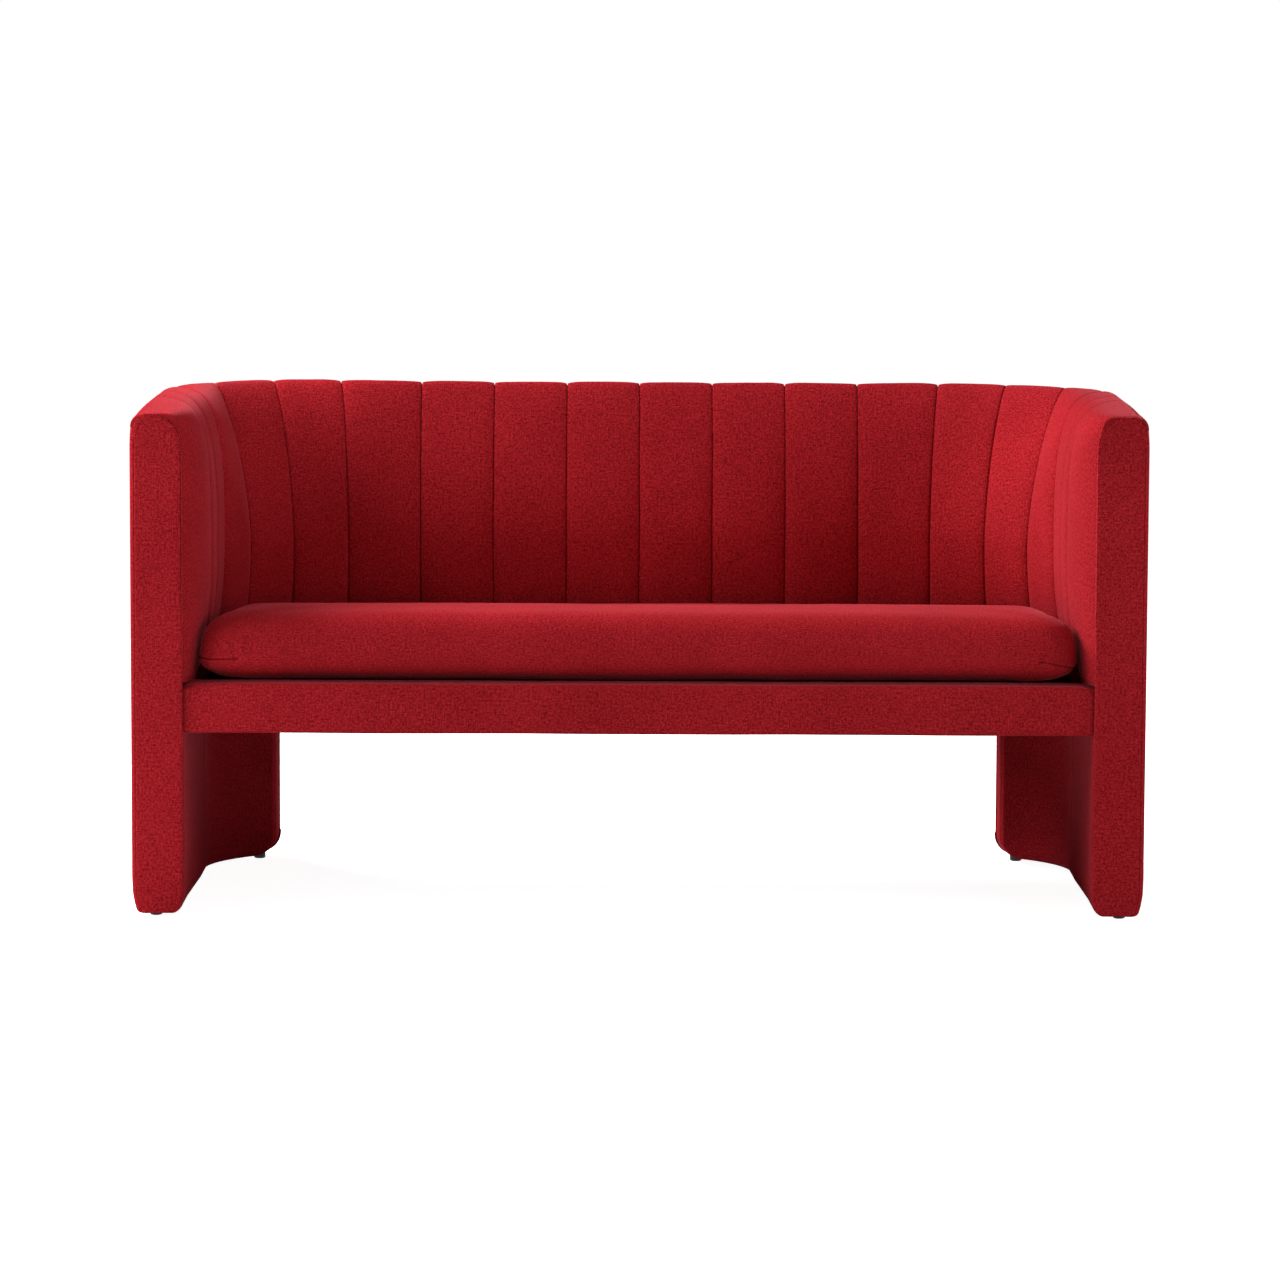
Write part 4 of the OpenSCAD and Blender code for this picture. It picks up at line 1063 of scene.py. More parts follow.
def stitch_row(name, body, slot, lines, tree, **sizes):
    """Rows of stitches along open lines of points, as one plain mesh."""
    points, edges = [], []
    for line in lines:
        first = len(points)
        points += [tuple(p) for p in line]
        edges += [(i, i + 1) for i in range(first, len(points) - 1)]
    mesh = bpy.data.meshes.new(name)
    mesh.from_pydata(points, edges, [])
    piece = in_scene(name, mesh)
    row = piece.modifiers.new("stitches", "NODES")
    row.node_group = tree
    for socket in tree.interface.items_tree:
        if socket.in_out == "INPUT" and socket.name in sizes:
            row[socket.identifier] = sizes[socket.name]
    wear(plain_mesh(piece), body, slot)


# %% Stitches of the arm fronts
STITCH_IN = 0.0012
STITCH_BACK = 0.0017
# The stitches use the dark thread, whose darkness partly paints the shade in the stitch holes.
STITCHES = stitch_tree(THREAD_AND_PAINTED_SHADE)


def facing_line(side):
    """The line of stitches: up the inner edge of an arm front and over its top."""
    y = FRONT_Y + STITCH_BACK
    return [(side * (HALF_W - d), y, z) for d, z in upper_edge(INNER_INSET + STITCH_IN)[:-4]]


for side, word in SIDES:
    stitch_row(f"arm_front_stitches_{word}", "frame", "red_wool", [facing_line(side)], STITCHES)

# %% [markdown]
# ## The covered seat rail
# The rail is cloth over a little wadding on a beech board. Its section is a rounded C, swept
# from end to end. The ends sink slightly, because the cloth is folded there like a parcel.

# %% Rail cover
RAIL_ROUND = 0.009
RAIL_DEEP, RAIL_UNDER = 0.052, 0.031
RAIL_END_STEPS = np.array([0, 0.0006, 0.0015, 0.003, 0.005, 0.008, 0.014, 0.025])
RAIL_END_R, RAIL_END_SINK = 0.007, 0.005
RAIL_END_FALL, RAIL_FALL_REACH = 0.006, 0.038
RAIL_BACK_W, RAIL_BACK_FADE, RAIL_SINK = 0.008, 0.03, 0.0012
RAIL_BELLY = 0.0012
RAIL_SAG = 0.0015
RAIL_CALM_W = 0.03


def rail_section():
    """Section of the rail's cover as depth and height, from the deck round to the underside."""
    y, low, high = RAIL_FRONT_Y, SEAT_UNDER, DECK_Z
    back = y + RAIL_DEEP
    top = [(back - t * (RAIL_DEEP - RAIL_ROUND), high) for t in np.linspace(0, 1, 9)[:-1]]
    upper = arc((y + RAIL_ROUND, high - RAIL_ROUND), RAIL_ROUND, 90, 180, 9)
    face = [(y, z) for z in np.linspace(high - RAIL_ROUND, low + RAIL_ROUND, 12)[1:-1]]
    lower = arc((y + RAIL_ROUND, low + RAIL_ROUND), RAIL_ROUND, 180, 270, 9)
    under = [(y + RAIL_ROUND + t * (RAIL_UNDER - RAIL_ROUND), low)
             for t in np.linspace(0, 1, 5)[1:]]
    return np.array(top + upper + face + lower + under)


def rail():
    """The seat rail's cover, with soft ends."""
    section = rail_section()
    half = np.concatenate([RAIL_END_X - RAIL_END_STEPS, np.linspace(RAIL_END_X - 0.04, 0, 34)])
    xs = np.concatenate([-half, half[-2::-1]])
    points = np.zeros((len(xs), len(section), 3))
    points[:, :, 0] = xs[:, None]
    points[:, :, 1:] = section[None]
    normals = grid_normals(points)
    middle = np.array([0, section[:, 0].mean() + 0.02, section[:, 1].mean()])
    outward = np.sign(((points - middle) * normals * [0, 1, 1]).sum(2))
    normals *= np.where(outward == 0, 1, outward)[:, :, None]
    to_end = (RAIL_END_X - np.abs(xs))[:, None]
    tall = DECK_Z - SEAT_UNDER
    belly = RAIL_BELLY * np.sin(np.pi * fade_in(points[:, :, 2] - SEAT_UNDER, tall))
    belly *= points[:, :, 1] < RAIL_FRONT_Y + 0.001
    soft = wadding(points, (8.0, 0.0007, 41.0)) * fade_in(to_end, RAIL_CALM_W)
    sink = rolled(to_end, RAIL_END_R, RAIL_END_SINK)
    forward = fade_in(RAIL_FRONT_Y + RAIL_DEEP - RAIL_BACK_W - points[:, :, 1], RAIL_BACK_FADE)
    points = points + normals * (soft - sink - RAIL_SINK * forward + belly)[:, :, None]
    fall = RAIL_END_FALL * fade_out(to_end, RAIL_FALL_REACH) ** 1.5 * forward
    points[:, :, 2] -= fall * fade_in(points[:, :, 2] - SEAT_UNDER, tall) ** 3
    points[:, :, 2] = np.clip(points[:, :, 2], SEAT_UNDER, DECK_Z)
    points[:, :, 2] -= RAIL_SAG * fade_out(points[:, :, 2] - SEAT_UNDER, SAG_H)
    uvs = np.stack([points[:, :, 0], grid_lengths(points, 1)], -1)
    panel("seat_rail_cover", "rail_cover", points, (0, -1, 0), uvs, THICK_CLOTH)


rail()

# %% [markdown]
# ## The seat cushion
# The loose cushion is a cover filled with foam and wadding. It is made in four steps, as a
# pillow is: a plain closed form a little smaller than the cushion, an even mesh over it, a cloth
# simulation that blows it up against its seams, and then the fine sewing, which would be lost in
# the simulation's mesh. The cover is one cloth over the top, round the front and under. A seam
# runs along its sides below half height and ends in a short tuck on each front corner.

# %% Sizes of the cushion
CUSHION_LOW, CUSHION_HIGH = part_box("cushion_cover")
ZIP_LOW, ZIP_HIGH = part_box("zip_tape")
ZIP_Z = (ZIP_LOW.z + ZIP_HIGH.z) / 2
CUSHION_HALF_W = HALF_W - PAD_IN - ARM_SWELL + 0.002
CUSHION_PROUD = 0.006
CUSHION_CORNER_OUT = CUSHION_HIGH.x - CUSHION_HALF_W + CUSHION_PROUD
CUSHION_FRONT_R = 0.048
CUSHION_REAR_R = BULGE_R - 0.004
CUSHION_CORE_R = 0.036
CUSHION_ROLL, CUSHION_REAR_ROLL = 0.072, 0.014
DRAWN_IN_POWER = 4
CORE_SHIFT_REACH = 0.12
REAR_FROM_Y, REAR_SHORT = -0.02, 0.05
OUTLINE_POINTS = 360
print("cushion", [round(c, 4) for c in (*CUSHION_LOW, *CUSHION_HIGH)])


# %% The cushion's outline
def rear_share(y):
    """0 along the cushion's front and most of its sides, 1 at its rear, with a soft change."""
    share = fade_in(y - REAR_FROM_Y, CUSHION_HIGH.y - REAR_SHORT)
    return share * share * (3 - 2 * share)


def cushion_outline():
    """Plan of the cushion and of its flat core, as closed lines of matching points."""
    w, front, back = CUSHION_HALF_W, CUSHION_LOW.y, CUSHION_HIGH.y
    wide = w + CUSHION_CORNER_OUT
    front_x = wide - CUSHION_FRONT_R
    core_x, core_y = wide - CUSHION_ROLL - CUSHION_CORE_R, front + CUSHION_ROLL + CUSHION_CORE_R
    straight = back - front - CUSHION_FRONT_R - CUSHION_REAR_R
    half = [(front_x * t, front) for t in np.linspace(0, 1, 40)[:-1]]
    core = [(core_x * t, front + CUSHION_ROLL) for t in np.linspace(0, 1, 40)[:-1]]
    half += arc((front_x, front + CUSHION_FRONT_R), CUSHION_FRONT_R, -90, 0, 20)
    core += arc((core_x, core_y), CUSHION_CORE_R, -90, 0, 20)
    start = len(half)
    half += [(w + CUSHION_CORNER_OUT * (1 - t) ** DRAWN_IN_POWER,
              front + CUSHION_FRONT_R + t * straight) for t in np.linspace(0, 1, 20)[1:-1]]
    half += arc((w - CUSHION_REAR_R, back - CUSHION_REAR_R), CUSHION_REAR_R, 0, 90, 50)
    half += [((w - CUSHION_REAR_R) * t, back) for t in np.linspace(1, 0, 30)[1:]]
    half = np.array(half)
    along = np.gradient(half, axis=0)
    out = np.stack([along[:, 1], -along[:, 0]], 1) / np.linalg.norm(along, axis=1)[:, None]
    reach = CUSHION_ROLL + (CUSHION_REAR_ROLL - CUSHION_ROLL) * rear_share(half[:, 1])
    side = (half - out * reach[:, None])[start:]
    lift = fade_out(side[:, 1] - front - CUSHION_FRONT_R, CORE_SHIFT_REACH)
    side[:, 1] += (core_y - front - CUSHION_FRONT_R) * lift
    core = np.concatenate([core, side])
    loops = []
    for line in (half, core):
        loop = np.concatenate([line, line[-2:0:-1] * [-1, 1]])
        loops.append(np.concatenate([loop, loop[:1]]))
    steps = np.linalg.norm(np.diff(loops[0], axis=0), axis=1)
    run = np.concatenate([[0], np.cumsum(steps)])
    even = np.linspace(0, run[-1], OUTLINE_POINTS + 1)[:-1]
    return [np.stack([np.interp(even, run, loop[:, i]) for i in (0, 1)], 1) for loop in loops]


def loop_normals(loop):
    """Outward normals of a plan that runs round from the front to the right."""
    along = np.roll(loop, -1, axis=0) - np.roll(loop, 1, axis=0)
    out = np.stack([along[:, 1], -along[:, 0]], 1)
    return out / np.linalg.norm(out, axis=1, keepdims=True)


cushion_loop, cushion_core = cushion_outline()
cushion_out = loop_normals(cushion_loop)
print("cushion outline", len(cushion_loop), "points")

# %% The cushion's plain form
OVER_FULLNESS, SIDE_FULLNESS, REAR_FULLNESS = 2.1, 2.9, 4.5
SIDE_FROM, SIDE_TO = 0.50, 0.60
UNDER_FULLNESS, UNDER_SHARE = 2.0, 0.86
CUSHION_SEAM_Z = 0.3813
CUSHION_EDGE_Z = 0.4475
CUSHION_CROWN, CROWN_REACH, CROWN_POWER = 0.0035, 0.21, 2.3
CUSHION_FALL_Z, CUSHION_FALL, CUSHION_REAR_Z = 0.4661, 0.1014, 0.411
CUSHION_SLACK = 0.0025
FALL_SOFTNESS = 0.005
UNDER_RINGS, TOP_RINGS = np.linspace(0.1, 0.95, 16), np.linspace(0.96, 0.06, 18)


def under_fall(z, y):
    """Keeps a height of the cushion's top softly below the plane that falls backwards."""
    plane = np.maximum(CUSHION_FALL_Z - CUSHION_FALL * (y - FRONT_Y), CUSHION_REAR_Z)
    share = np.clip(0.5 + 0.5 * (plane - z) / FALL_SOFTNESS, 0, 1)
    return plane * (1 - share) + z * share - FALL_SOFTNESS * share * (1 - share)


def cushion_form(name, slack, lift=0.0, material=RED_WOOL):
    """The cushion's closed form, slack, as rings from the middle of the underside to the top."""
    plan = cushion_loop - cushion_out * slack
    low = CUSHION_LOW.z + lift
    rear = rear_share(cushion_loop[:, 1])
    widest = CUSHION_SEAM_Z + (ZIP_Z - CUSHION_SEAM_Z) * rear
    side = fade_in(np.abs(cushion_loop[:, 0]) - SIDE_FROM, SIDE_TO - SIDE_FROM)
    before = OVER_FULLNESS + (SIDE_FULLNESS - OVER_FULLNESS) * side
    over_power = 2 / (before + (REAR_FULLNESS - before) * rear)
    inwards = cushion_core - plan
    centre = np.array([0.0, (CUSHION_LOW.y + CUSHION_HIGH.y) / 2])
    under = plan + inwards * UNDER_SHARE
    rings = [(centre + (under - centre) * share, low) for share in UNDER_RINGS]
    for a in np.radians(np.linspace(90, 0, 16)):
        inset = UNDER_SHARE * (1 - abs(math.cos(a)) ** (2 / UNDER_FULLNESS))
        drop = (widest - low) * math.sin(a) ** (2 / UNDER_FULLNESS)
        rings.append((plan + inwards * inset, widest - drop))
    for a in np.radians(np.linspace(0, 90, 18))[1:]:
        inset = 1 - abs(math.cos(a)) ** over_power
        ring = plan + inwards * inset[:, None]
        rise = math.sin(a) ** over_power
        top = under_fall(CUSHION_EDGE_Z, ring[:, 1]) - slack
        rings.append((ring, widest + (top - widest) * rise))
    for share in TOP_RINGS:
        ring = centre + (cushion_core - centre) * share
        reach = fade_in(distance_to_loop(ring, cushion_core), CROWN_REACH)
        z = CUSHION_EDGE_Z + CUSHION_CROWN * (1 - (1 - reach) ** CROWN_POWER)
        rings.append((ring, under_fall(z, ring[:, 1]) - slack))
    count = len(cushion_loop)
    points = np.concatenate([np.column_stack([ring, np.zeros(count) + z]) for ring, z in rings])
    faces = grid_faces(len(rings), count, closed=True)
    faces += [tuple(range(count)), tuple(range((len(rings) - 1) * count, len(rings) * count))]
    return mesh_object(name, points, faces, material=material)


# %% [markdown]
# The voxel remesh gives the form one even skin of small squares, which a cloth simulation needs.
# The seam line and the underside are held still, and pressure does the rest. What moves stays
# within 3 mm of its place, so that the cushion keeps its outline.

# %% Points of the cushion and its seam
TUCK_END, TUCK_REACH = 0.586, 0.055
LEFT_SEAM_DROP, RIGHT_SEAM_DROP, RIGHT_TUCK_SAG = 0.0008, 0.0015, 0.0118
FRONT_BAND, SEAM_BAND = 0.06, 0.03
PART_POINTS = 4000


def coordinates(mesh):
    values = np.empty(len(mesh.vertices) * 3, np.float32)
    mesh.vertices.foreach_get("co", values)
    return values.reshape(-1, 3).astype(float)


def set_coordinates(mesh, points):
    mesh.vertices.foreach_set("co", np.asarray(points, np.float32).ravel())
    mesh.update()


def in_parts(points):
    """Numbers of the points in groups of a few thousand, to save memory."""
    return np.array_split(np.arange(len(points)), max(1, len(points) // PART_POINTS))


def seam_height(points):
    """Height of the cushion's seam beside each point: it sags at the right front corner."""
    x, y = points[:, 0], points[:, 1]
    corner = fade_in(np.abs(x) - TUCK_END, TUCK_REACH)
    front = np.where(x < 0, CUSHION_SEAM_Z - LEFT_SEAM_DROP,
                     CUSHION_SEAM_Z - RIGHT_SEAM_DROP - RIGHT_TUCK_SAG * corner**1.4)
    return front + (ZIP_Z - front) * rear_share(y)


def seam_distance_of(points):
    """Distance of each point to the cushion's seam, which the middle of the front lacks."""
    to_edge = np.concatenate([distance_to_loop(points[part, :2], cushion_loop)
                              for part in in_parts(points)])
    rise = points[:, 2] - seam_height(points)
    before = np.where(points[:, 1] < CUSHION_LOW.y + FRONT_BAND,
                      np.maximum(0, TUCK_END - np.abs(points[:, 0])), 0)
    inside = np.maximum(0, to_edge - SEAM_BAND)
    return np.sqrt(rise**2 + before**2 + inside**2)


# %% Blowing up the cushion
CUSHION_VOXEL = 0.009
CUSHION_PRESSURE = 4.0
CUSHION_MOST = 0.0030
CLOTH_STEPS = 20
CLOTH_SETTINGS = {
    "quality": 5, "mass": 0.4, "tension_stiffness": 18, "compression_stiffness": 18,
    "shear_stiffness": 6, "bending_stiffness": 0.8, "shrink_min": -0.02, "use_pressure": True,
    "uniform_pressure_force": CUSHION_PRESSURE, "vertex_group_mass": "held",
}


def blown_up(piece, held):
    """Fills a closed cover by a cloth simulation. The held points stay where they are."""
    start = coordinates(piece.data)
    group = piece.vertex_groups.new(name="held")
    group.add([int(i) for i in np.flatnonzero(held)], 1.0, "REPLACE")
    cloth = piece.modifiers.new("cloth", "CLOTH")
    for key, value in CLOTH_SETTINGS.items():
        setattr(cloth.settings, key, value)
    cloth.settings.effector_weights.gravity = 0
    cloth.point_cache.frame_start = 1
    cloth.point_cache.frame_end = CLOTH_STEPS
    scene = bpy.context.scene
    for step in range(1, CLOTH_STEPS + 1):
        scene.frame_set(step)
    graph = bpy.context.evaluated_depsgraph_get()
    moved = coordinates(piece.evaluated_get(graph).data) - start
    piece.modifiers.clear()
    piece.vertex_groups.clear()
    scene.frame_set(1)
    length = np.linalg.norm(moved, axis=1, keepdims=True)
    moved *= np.minimum(1, CUSHION_MOST / np.maximum(length, 1e-9))
    set_coordinates(piece.data, start + moved)
    print("blown up: most", round(float(length.max()), 4), "mean", round(float(length.mean()), 4))


cushion = cushion_form("cushion", CUSHION_SLACK)
remesh = cushion.modifiers.new("even", "REMESH")
remesh.mode = "VOXEL"
remesh.voxel_size = CUSHION_VOXEL
remesh.use_smooth_shade = True
plain_mesh(cushion)
cover_points = coordinates(cushion.data)
held = seam_distance_of(cover_points) < 0.6 * CUSHION_VOXEL
held |= cover_points[:, 2] < CUSHION_LOW.z + 0.002
blown_up(cushion, held)
print("cushion mesh", len(cushion.data.polygons))

# %% [markdown]
# The cover needs more points where it is sewn: one subdivision everywhere, and then more squares
# along the seam, along the tucks and under the puckers. After that the cover is cut open in
# thought, to give it a UV map. The top cloth lies flat, and past the edge it goes on in the same
# direction, so the weave runs over the front without a break.

# %% A finer mesh for the seams
PUCKER_PLACE = (0.592, 0.394)


def finer_near(piece, distance_of, reach):
    """Splits the faces near a line once, so that a fine crease has points to use."""
    near = distance_of(coordinates(piece.data)) < reach
    shaped = bmesh.new()
    shaped.from_mesh(piece.data)
    shaped.verts.ensure_lookup_table()
    edges = [e for e in shaped.edges if near[e.verts[0].index] and near[e.verts[1].index]]
    bmesh.ops.subdivide_edges(shaped, edges=edges, cuts=1, use_grid_fill=True)
    shaped.to_mesh(piece.data)
    shaped.free()


def tuck_distance_of(points):
    """Distance to the seam on the cushion's front and front corners, far away elsewhere."""
    return seam_distance_of(points) + (points[:, 1] > CUSHION_LOW.y + FRONT_BAND)


def pucker_distance_of(points):
    """Distance to the puckers over the tucks, beyond the strip that is already fine."""
    x, z = PUCKER_PLACE
    aside = np.hypot(np.abs(points[:, 0]) - x, points[:, 2] - z)
    behind = points[:, 1] > CUSHION_LOW.y + 0.05
    return np.where(behind | (seam_distance_of(points) < 0.011), 1, aside)


surface = cushion.modifiers.new("smooth", "SUBSURF")
surface.levels = surface.render_levels = 1
plain_mesh(cushion)
for distance_of, reach in (
    (seam_distance_of, 0.012), (seam_distance_of, 0.006), (tuck_distance_of, 0.0036),
    (pucker_distance_of, 0.034), (pucker_distance_of, 0.031),
):
    finer_near(cushion, distance_of, reach)
print("cushion mesh, finer", len(cushion.data.polygons))

# %% The cushion's UV map
UNDER_FROM, UNDER_FADE = 0.010, 0.020
TOP_FROM, TOP_FADE = 0.06, 0.09


def unrolled(points):
    """Flat places of points on the cushion: the drop at the edge is laid outwards."""
    nearest = np.empty(len(points), int)
    inset = np.empty(len(points))
    for part in in_parts(points):
        apart = np.linalg.norm(points[part, None, :2] - cushion_loop[None], axis=2)
        nearest[part] = apart.argmin(1)
        inset[part] = apart.min(1)
    drop = CUSHION_HIGH.z - points[:, 2]
    under = fade_in(CUSHION_SEAM_Z + UNDER_FROM - points[:, 2], UNDER_FADE)
    share = 1 - fade_in(inset - TOP_FROM, TOP_FADE) * (1 - under)
    return points[:, :2] + cushion_out[nearest] * (share * drop + 2 * under * inset)[:, None]


set_uvs(cushion.data, unrolled(coordinates(cushion.data)))

# %% [markdown]
# The last pass is the hand work: the seam is pulled in, the end of each tuck gets its puckers,
# and the cloth gets a faint unevenness. The left tuck has three upright puckers and the right one
# a single slanting one, as in the photograph.

# %% Sewing the cushion
CUSHION_CREASE_W, CUSHION_CREASE = 0.0028, 0.0046
CUSHION_PULL_W, CUSHION_PULL = 0.006, 0.0018
CUSHION_WAVES = ((5.0, 0.0014, 51.0), (22.0, 0.0004, 52.0))
CUSHION_FORWARD = 0.004
CUSHION_FILL = 0.8
PUCKER = 0.8
LEANING, UPRIGHT, LEVEL, SLANTING = (0.05, 1), (0, 1), (1, 0), (0.5, 0.9)
# Each pucker is a height (hollows are negative), a place in X and Z, a direction, and how long
# and how wide it is.
PUCKERS = (
    (0.0017, (-0.614, 0.395), LEANING, 0.010, 0.0034),
    (0.0021, (-0.600, 0.395), LEANING, 0.010, 0.0034),
    (0.0022, (-0.579, 0.395), LEANING, 0.010, 0.0034),
    (-0.0014, (-0.607, 0.392), UPRIGHT, 0.009, 0.0030),
    (-0.0019, (-0.590, 0.392), UPRIGHT, 0.009, 0.0030),
    (-0.0024, (-TUCK_END, 0.382), LEVEL, 0.006, 0.005),
    (0.0033, (0.5795, 0.3795), SLANTING, 0.013, 0.0042),
    (-0.0024, (0.588, 0.384), SLANTING, 0.010, 0.0035),
    (-0.0015, (0.570, 0.376), SLANTING, 0.012, 0.0040),
)


def ridge_at(points, centre, along, length, width):
    """A soft ridge on the cushion's front, along a direction in the XZ plane."""
    offset = points[:, [0, 2]] - centre
    along = np.array(along) / math.hypot(*along)
    lengthwise = offset @ along
    crosswise = offset @ np.array([-along[1], along[0]])
    front = fade_out(points[:, 1] - CUSHION_LOW.y, 0.05)
    return np.exp(-(lengthwise / length) ** 2 - (crosswise / width) ** 2) * front


def sew(piece):
    """Pulls in the seam, and adds the puckers and the unevenness."""
    points = coordinates(piece.data)
    normals = np.array([v.normal[:] for v in piece.data.vertices])
    distance = seam_distance_of(points)
    sink = rolled(distance, CUSHION_CREASE_W, CUSHION_CREASE)
    sink += CUSHION_PULL * np.exp(-distance / CUSHION_PULL_W)
    puckers = sum(height * ridge_at(points, *shape) for height, *shape in PUCKERS)
    points += normals * (PUCKER * puckers + wadding(points, *CUSHION_WAVES) - sink)[:, None]
    points[:, 2] = np.clip(points[:, 2], CUSHION_LOW.z, None)
    points[:, 1] = np.clip(points[:, 1], CUSHION_LOW.y - CUSHION_FORWARD, CUSHION_HIGH.y)
    set_coordinates(piece.data, points)
    piece.data.shade_smooth()


sew(cushion)
wear(cushion, "seat_cushion", "red_wool", "cushion_cover", fill=CUSHION_FILL)

# %% [markdown]
# The foam core follows the cover's form, so it is the same recipe with more slack. It lies a
# whole layer of wadding inside the cover and shows only when the cover is hidden.

# %% Foam core
WADDING = 0.018
FOAM_FILL = 0.9
core = cushion_form("cushion_foam", CUSHION_SLACK + WADDING, WADDING, FELT)
wear(core, "seat_cushion", "foam_and_felt", "cushion_core", fill=FOAM_FILL)

# %% [markdown]
# ## The zip
# Behind, the cover opens with a zip, so that the foam can be taken out. Its tape is two woven
# strips with a corded inner edge. The teeth are a coil, whose turns show as small ovals side by
# side. That is one shape repeated along a line again, so the stitching tree makes them too.

# %% Zip tape and teeth
TAPE_GAP, TAPE_CORD_W = 0.0020, 0.0009
TAPE_NEAR, TAPE_FLAT, TAPE_CORD = 0.0001, 0.0008, 0.0014
TAPE_STEPS, TOOTH_LINE_STEPS = 90, 60
TOOTH_PITCH, TOOTH_LENGTH, TOOTH_RADIUS = 0.0016, 0.0012, 0.0011
TOOTH_ASIDE, TOOTH_BACK, TEETH_SHORT = 0.0008, 0.0012, 0.002


def tape_strip(sign):
    """Points of one strip of the tape: a closed section at many places along X."""
    inner, outer = ZIP_Z + sign * TAPE_GAP, ZIP_Z + sign * (ZIP_HIGH.z - ZIP_LOW.z) / 2
    near, flat, cord = (ZIP_LOW.y + back for back in (TAPE_NEAR, TAPE_FLAT, TAPE_CORD))
    section = [(near, outer), (flat, outer), (flat, inner + 2 * sign * TAPE_CORD_W),
               (cord, inner + sign * TAPE_CORD_W), (flat, inner), (near, inner)]
    return np.array([[(x, y, z) for y, z in section]
                     for x in np.linspace(ZIP_LOW.x, ZIP_HIGH.x, TAPE_STEPS)])


def tooth_line(sign):
    """The line along which one side's teeth stand, shifted by a quarter of their pitch."""
    xs = np.linspace(ZIP_LOW.x + TEETH_SHORT, ZIP_HIGH.x - TEETH_SHORT, TOOTH_LINE_STEPS)
    return [(x, ZIP_LOW.y + TOOTH_BACK, ZIP_Z + sign * TOOTH_ASIDE)
            for x in xs + sign * TOOTH_PITCH / 4]


strips = np.array([tape_strip(sign) for sign in (-1, 1)])
count, around = strips.shape[1:3]
tape_faces = []
for first in (0, count * around):
    walls = grid_faces(count, around, closed=True)
    tape_faces += [tuple(first + i for i in face) for face in walls]
    ends = (first, first + (count - 1) * around)
    tape_faces += [tuple(end + j for j in range(around)) for end in ends]
tape = mesh_object("zip_tape_cloth", strips.reshape(-1, 3), tape_faces, material=ZIP_CLOTH)
wear(tape, "seat_cushion", "zip_tape", "zip_tape")
stitch_row("zip_coil", "seat_cushion", "zip_tape", [tooth_line(sign) for sign in (-1, 1)],
           stitch_tree(ZIP_TEETH), Pitch=TOOTH_PITCH, Length=TOOTH_LENGTH, Radius=TOOTH_RADIUS)

# %% [markdown]
# ## The glides
# Small black plastic feet keep the cloth off the floor. Each is a turned shape: a round section
# spun about its upright axis, with a soft lower edge.

# %% Glides
GLIDE_SECTION = [(0.0, 0.0), (0.0066, 0.0), (0.0082, 0.0006), (0.0092, 0.0021), (0.0095, 0.0045),
                 (0.0091, 0.0162), (0.0085, 0.0168), (0.0, 0.0168)]
GLIDE_SIDES = 36


def glide(node):
    """A glide spun at the place of its CAD node."""
    low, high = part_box(node)
    centre = (low + high) / 2
    turns = np.linspace(0, 2 * math.pi, GLIDE_SIDES + 1)[:-1]
    points = [(centre.x + r * math.cos(a), centre.y + r * math.sin(a), z)
              for r, z in GLIDE_SECTION for a in turns]
    faces = grid_faces(len(GLIDE_SECTION), GLIDE_SIDES, closed=True)
    piece = mesh_object(node + "_foot", points, faces, material=GLIDE_PLASTIC)
    wear(piece, "frame", "glide_plastic", node)


for place in ("front_left", "front_right", "rear_left", "rear_right"):
    glide(f"glide_{place}")

# %% [markdown]
# ## The floor and the light
# The photograph was cut out on white, so the floor is a plain pale sheet that keeps the sofa's
# soft shadow. Two large soft lamps at the upper left, one before and one behind the sofa, give
# the light side of every channel and the bright outer edge. Weaker ones fill from low on the
# left, from the right and from above.

# %% Floor
FLOOR_HALF = 30.0
FLOOR_GLOW = 0.93
FLOOR_NEAR = 4.0
FLOOR_SHADOW = 0.9
FLOOR_BOUNCE = 0.8
WHITE = (1, 1, 1)


def looked_at(nodes):
    """1 for a ray that shows the surroundings: from the camera, or through gloss or glass."""
    rays = nodes.add("ShaderNodeLightPath").outputs
    either = nodes.sums("MAXIMUM", rays["Is Camera Ray"], rays["Is Glossy Ray"])
    return nodes.sums("MAXIMUM", either, rays["Is Transmission Ray"])


def join(nodes, unseen, seen, output):
    """One shader for the light that falls on things, and another for the rays that look."""
    mix = nodes.add("ShaderNodeMixShader")
    for socket, value in zip(mix.inputs, (looked_at(nodes), unseen, seen)):
        nodes.feed(socket, value)
    nodes.feed(nodes.tree.nodes[output].inputs["Surface"], mix.outputs[0])


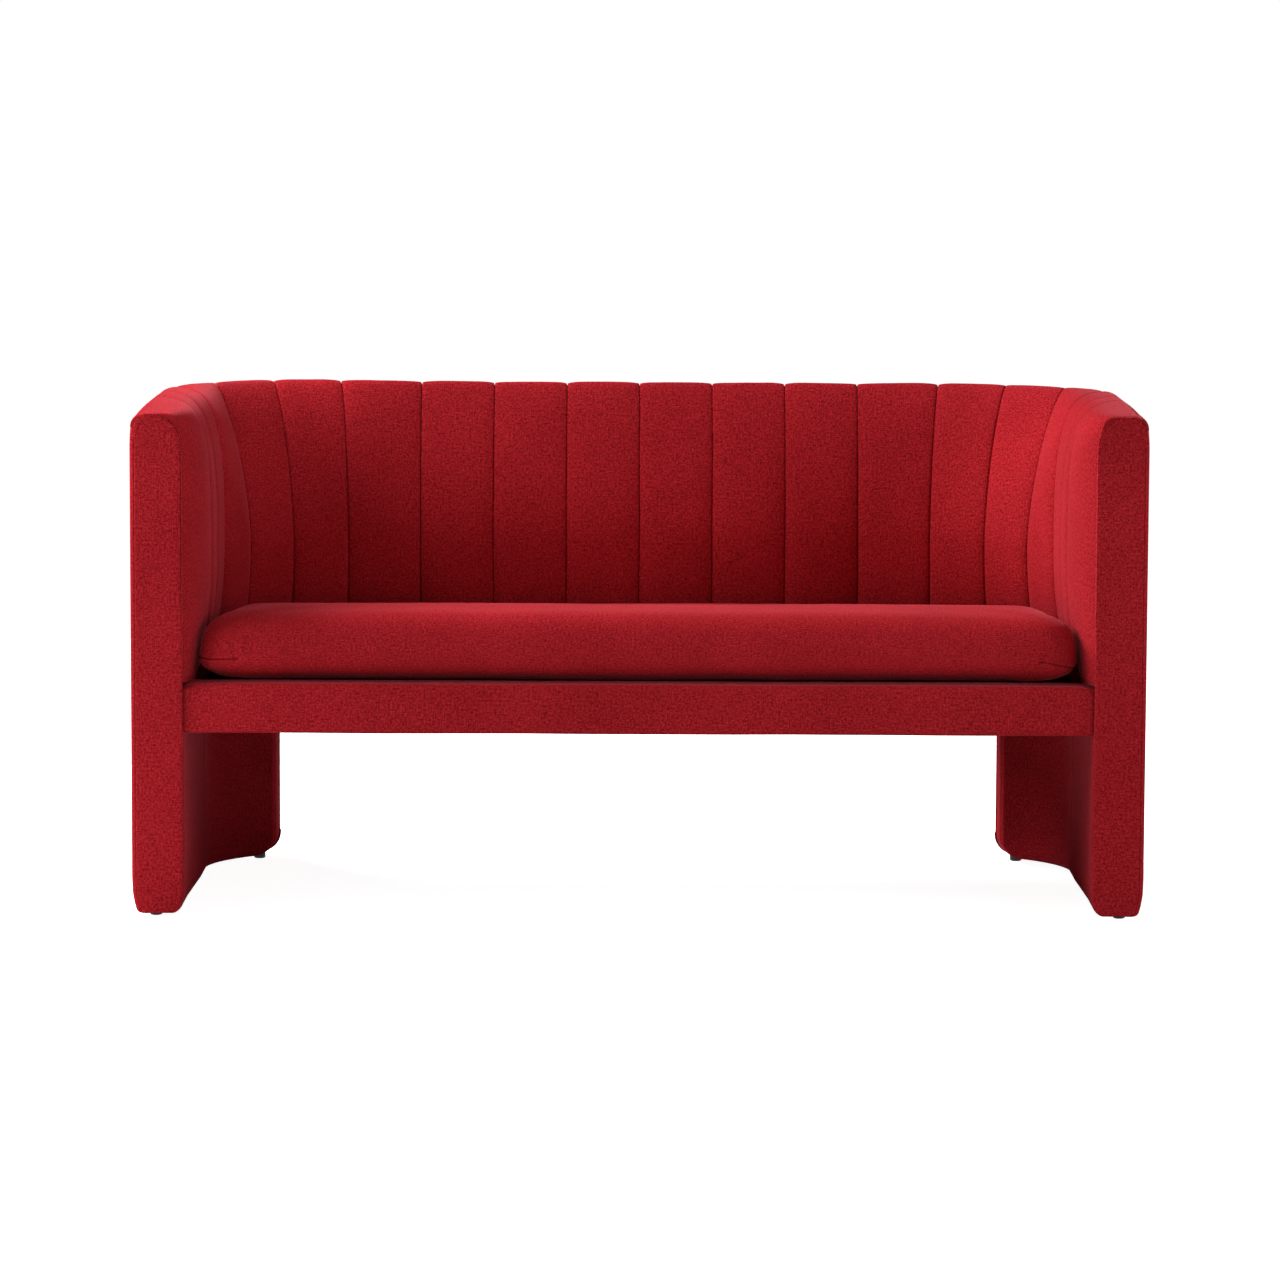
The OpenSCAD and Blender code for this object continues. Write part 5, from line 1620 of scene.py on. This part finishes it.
def floor():
    """A large pale floor. The camera sees it nearly white, with the sofa's soft shadow on it."""
    pale = Recipe("floor", (FLOOR_BOUNCE,) * 3, roughness=0.9)
    near = pale.add("ShaderNodeTexGradient", gradient_type="SPHERICAL",
                    Vector=pale.place("Object", (1 / FLOOR_NEAR,) * 3))
    tone = pale.ramp(near.outputs["Fac"], WHITE, (FLOOR_GLOW,) * 3, 0.0, 0.45)
    glow = pale.add("ShaderNodeEmission", Color=tone, Strength=1.0)
    matt = pale.add("ShaderNodeBsdfDiffuse", Color=(FLOOR_SHADOW,) * 3)
    lit = pale.add("ShaderNodeAddShader")
    pale.feed(lit.inputs[0], glow.outputs[0])
    pale.feed(lit.inputs[1], matt.outputs[0])
    join(pale, pale.shader.outputs[0], lit.outputs[0], "Material Output")
    corners = [(FLOOR_HALF * x, FLOOR_HALF * y, 0) for x, y in ((-1, -1), (1, -1), (1, 1), (-1, 1))]
    sheet = mesh_object("floor", corners, [(0, 1, 2, 3)], material=pale.material)
    facing_out(sheet, (0, 0, 1))


floor()

# %% Lamps and surroundings
LIT_POINT = (0.0, 0.0, 0.5)
WORLD_LIGHT = 0.02


def lamp(name, place, size, power):
    """A square soft lamp that looks at the seat and isn't seen itself."""
    data = bpy.data.lights.new(name, "AREA")
    data.size = size
    data.energy = power
    light = in_scene(name, data)
    light.location = place
    light.rotation_euler = (Vector(LIT_POINT) - Vector(place)).to_track_quat("-Z", "Y").to_euler()
    light.visible_camera = False


lamp("left", (-2.9, -0.75, 2.1), 1.9, 93)
lamp("left_behind", (-2.2, 1.6, 2.6), 1.6, 172)
lamp("left_low", (-2.4, -2.6, 0.7), 1.6, 12)
lamp("right", (3.16, -0.7, 1.5), 1.8, 31)
lamp("right_front", (2.4, -2.6, 1.2), 1.6, 17)
lamp("above", (0.0, 0.25, 3.2), 2.0, 27)

world = bpy.data.worlds.new("surroundings")
bpy.context.scene.world = world
world.use_nodes = True
around_all = Nodes(world.node_tree)
dim = world.node_tree.nodes["Background"]
around_all.feed(dim.inputs["Color"], WHITE)
around_all.feed(dim.inputs["Strength"], WORLD_LIGHT)
bright = around_all.add("ShaderNodeBackground", Color=WHITE, Strength=1.0)
join(around_all, dim.outputs[0], bright.outputs[0], "World Output")
print("lamps", len(bpy.data.lights))
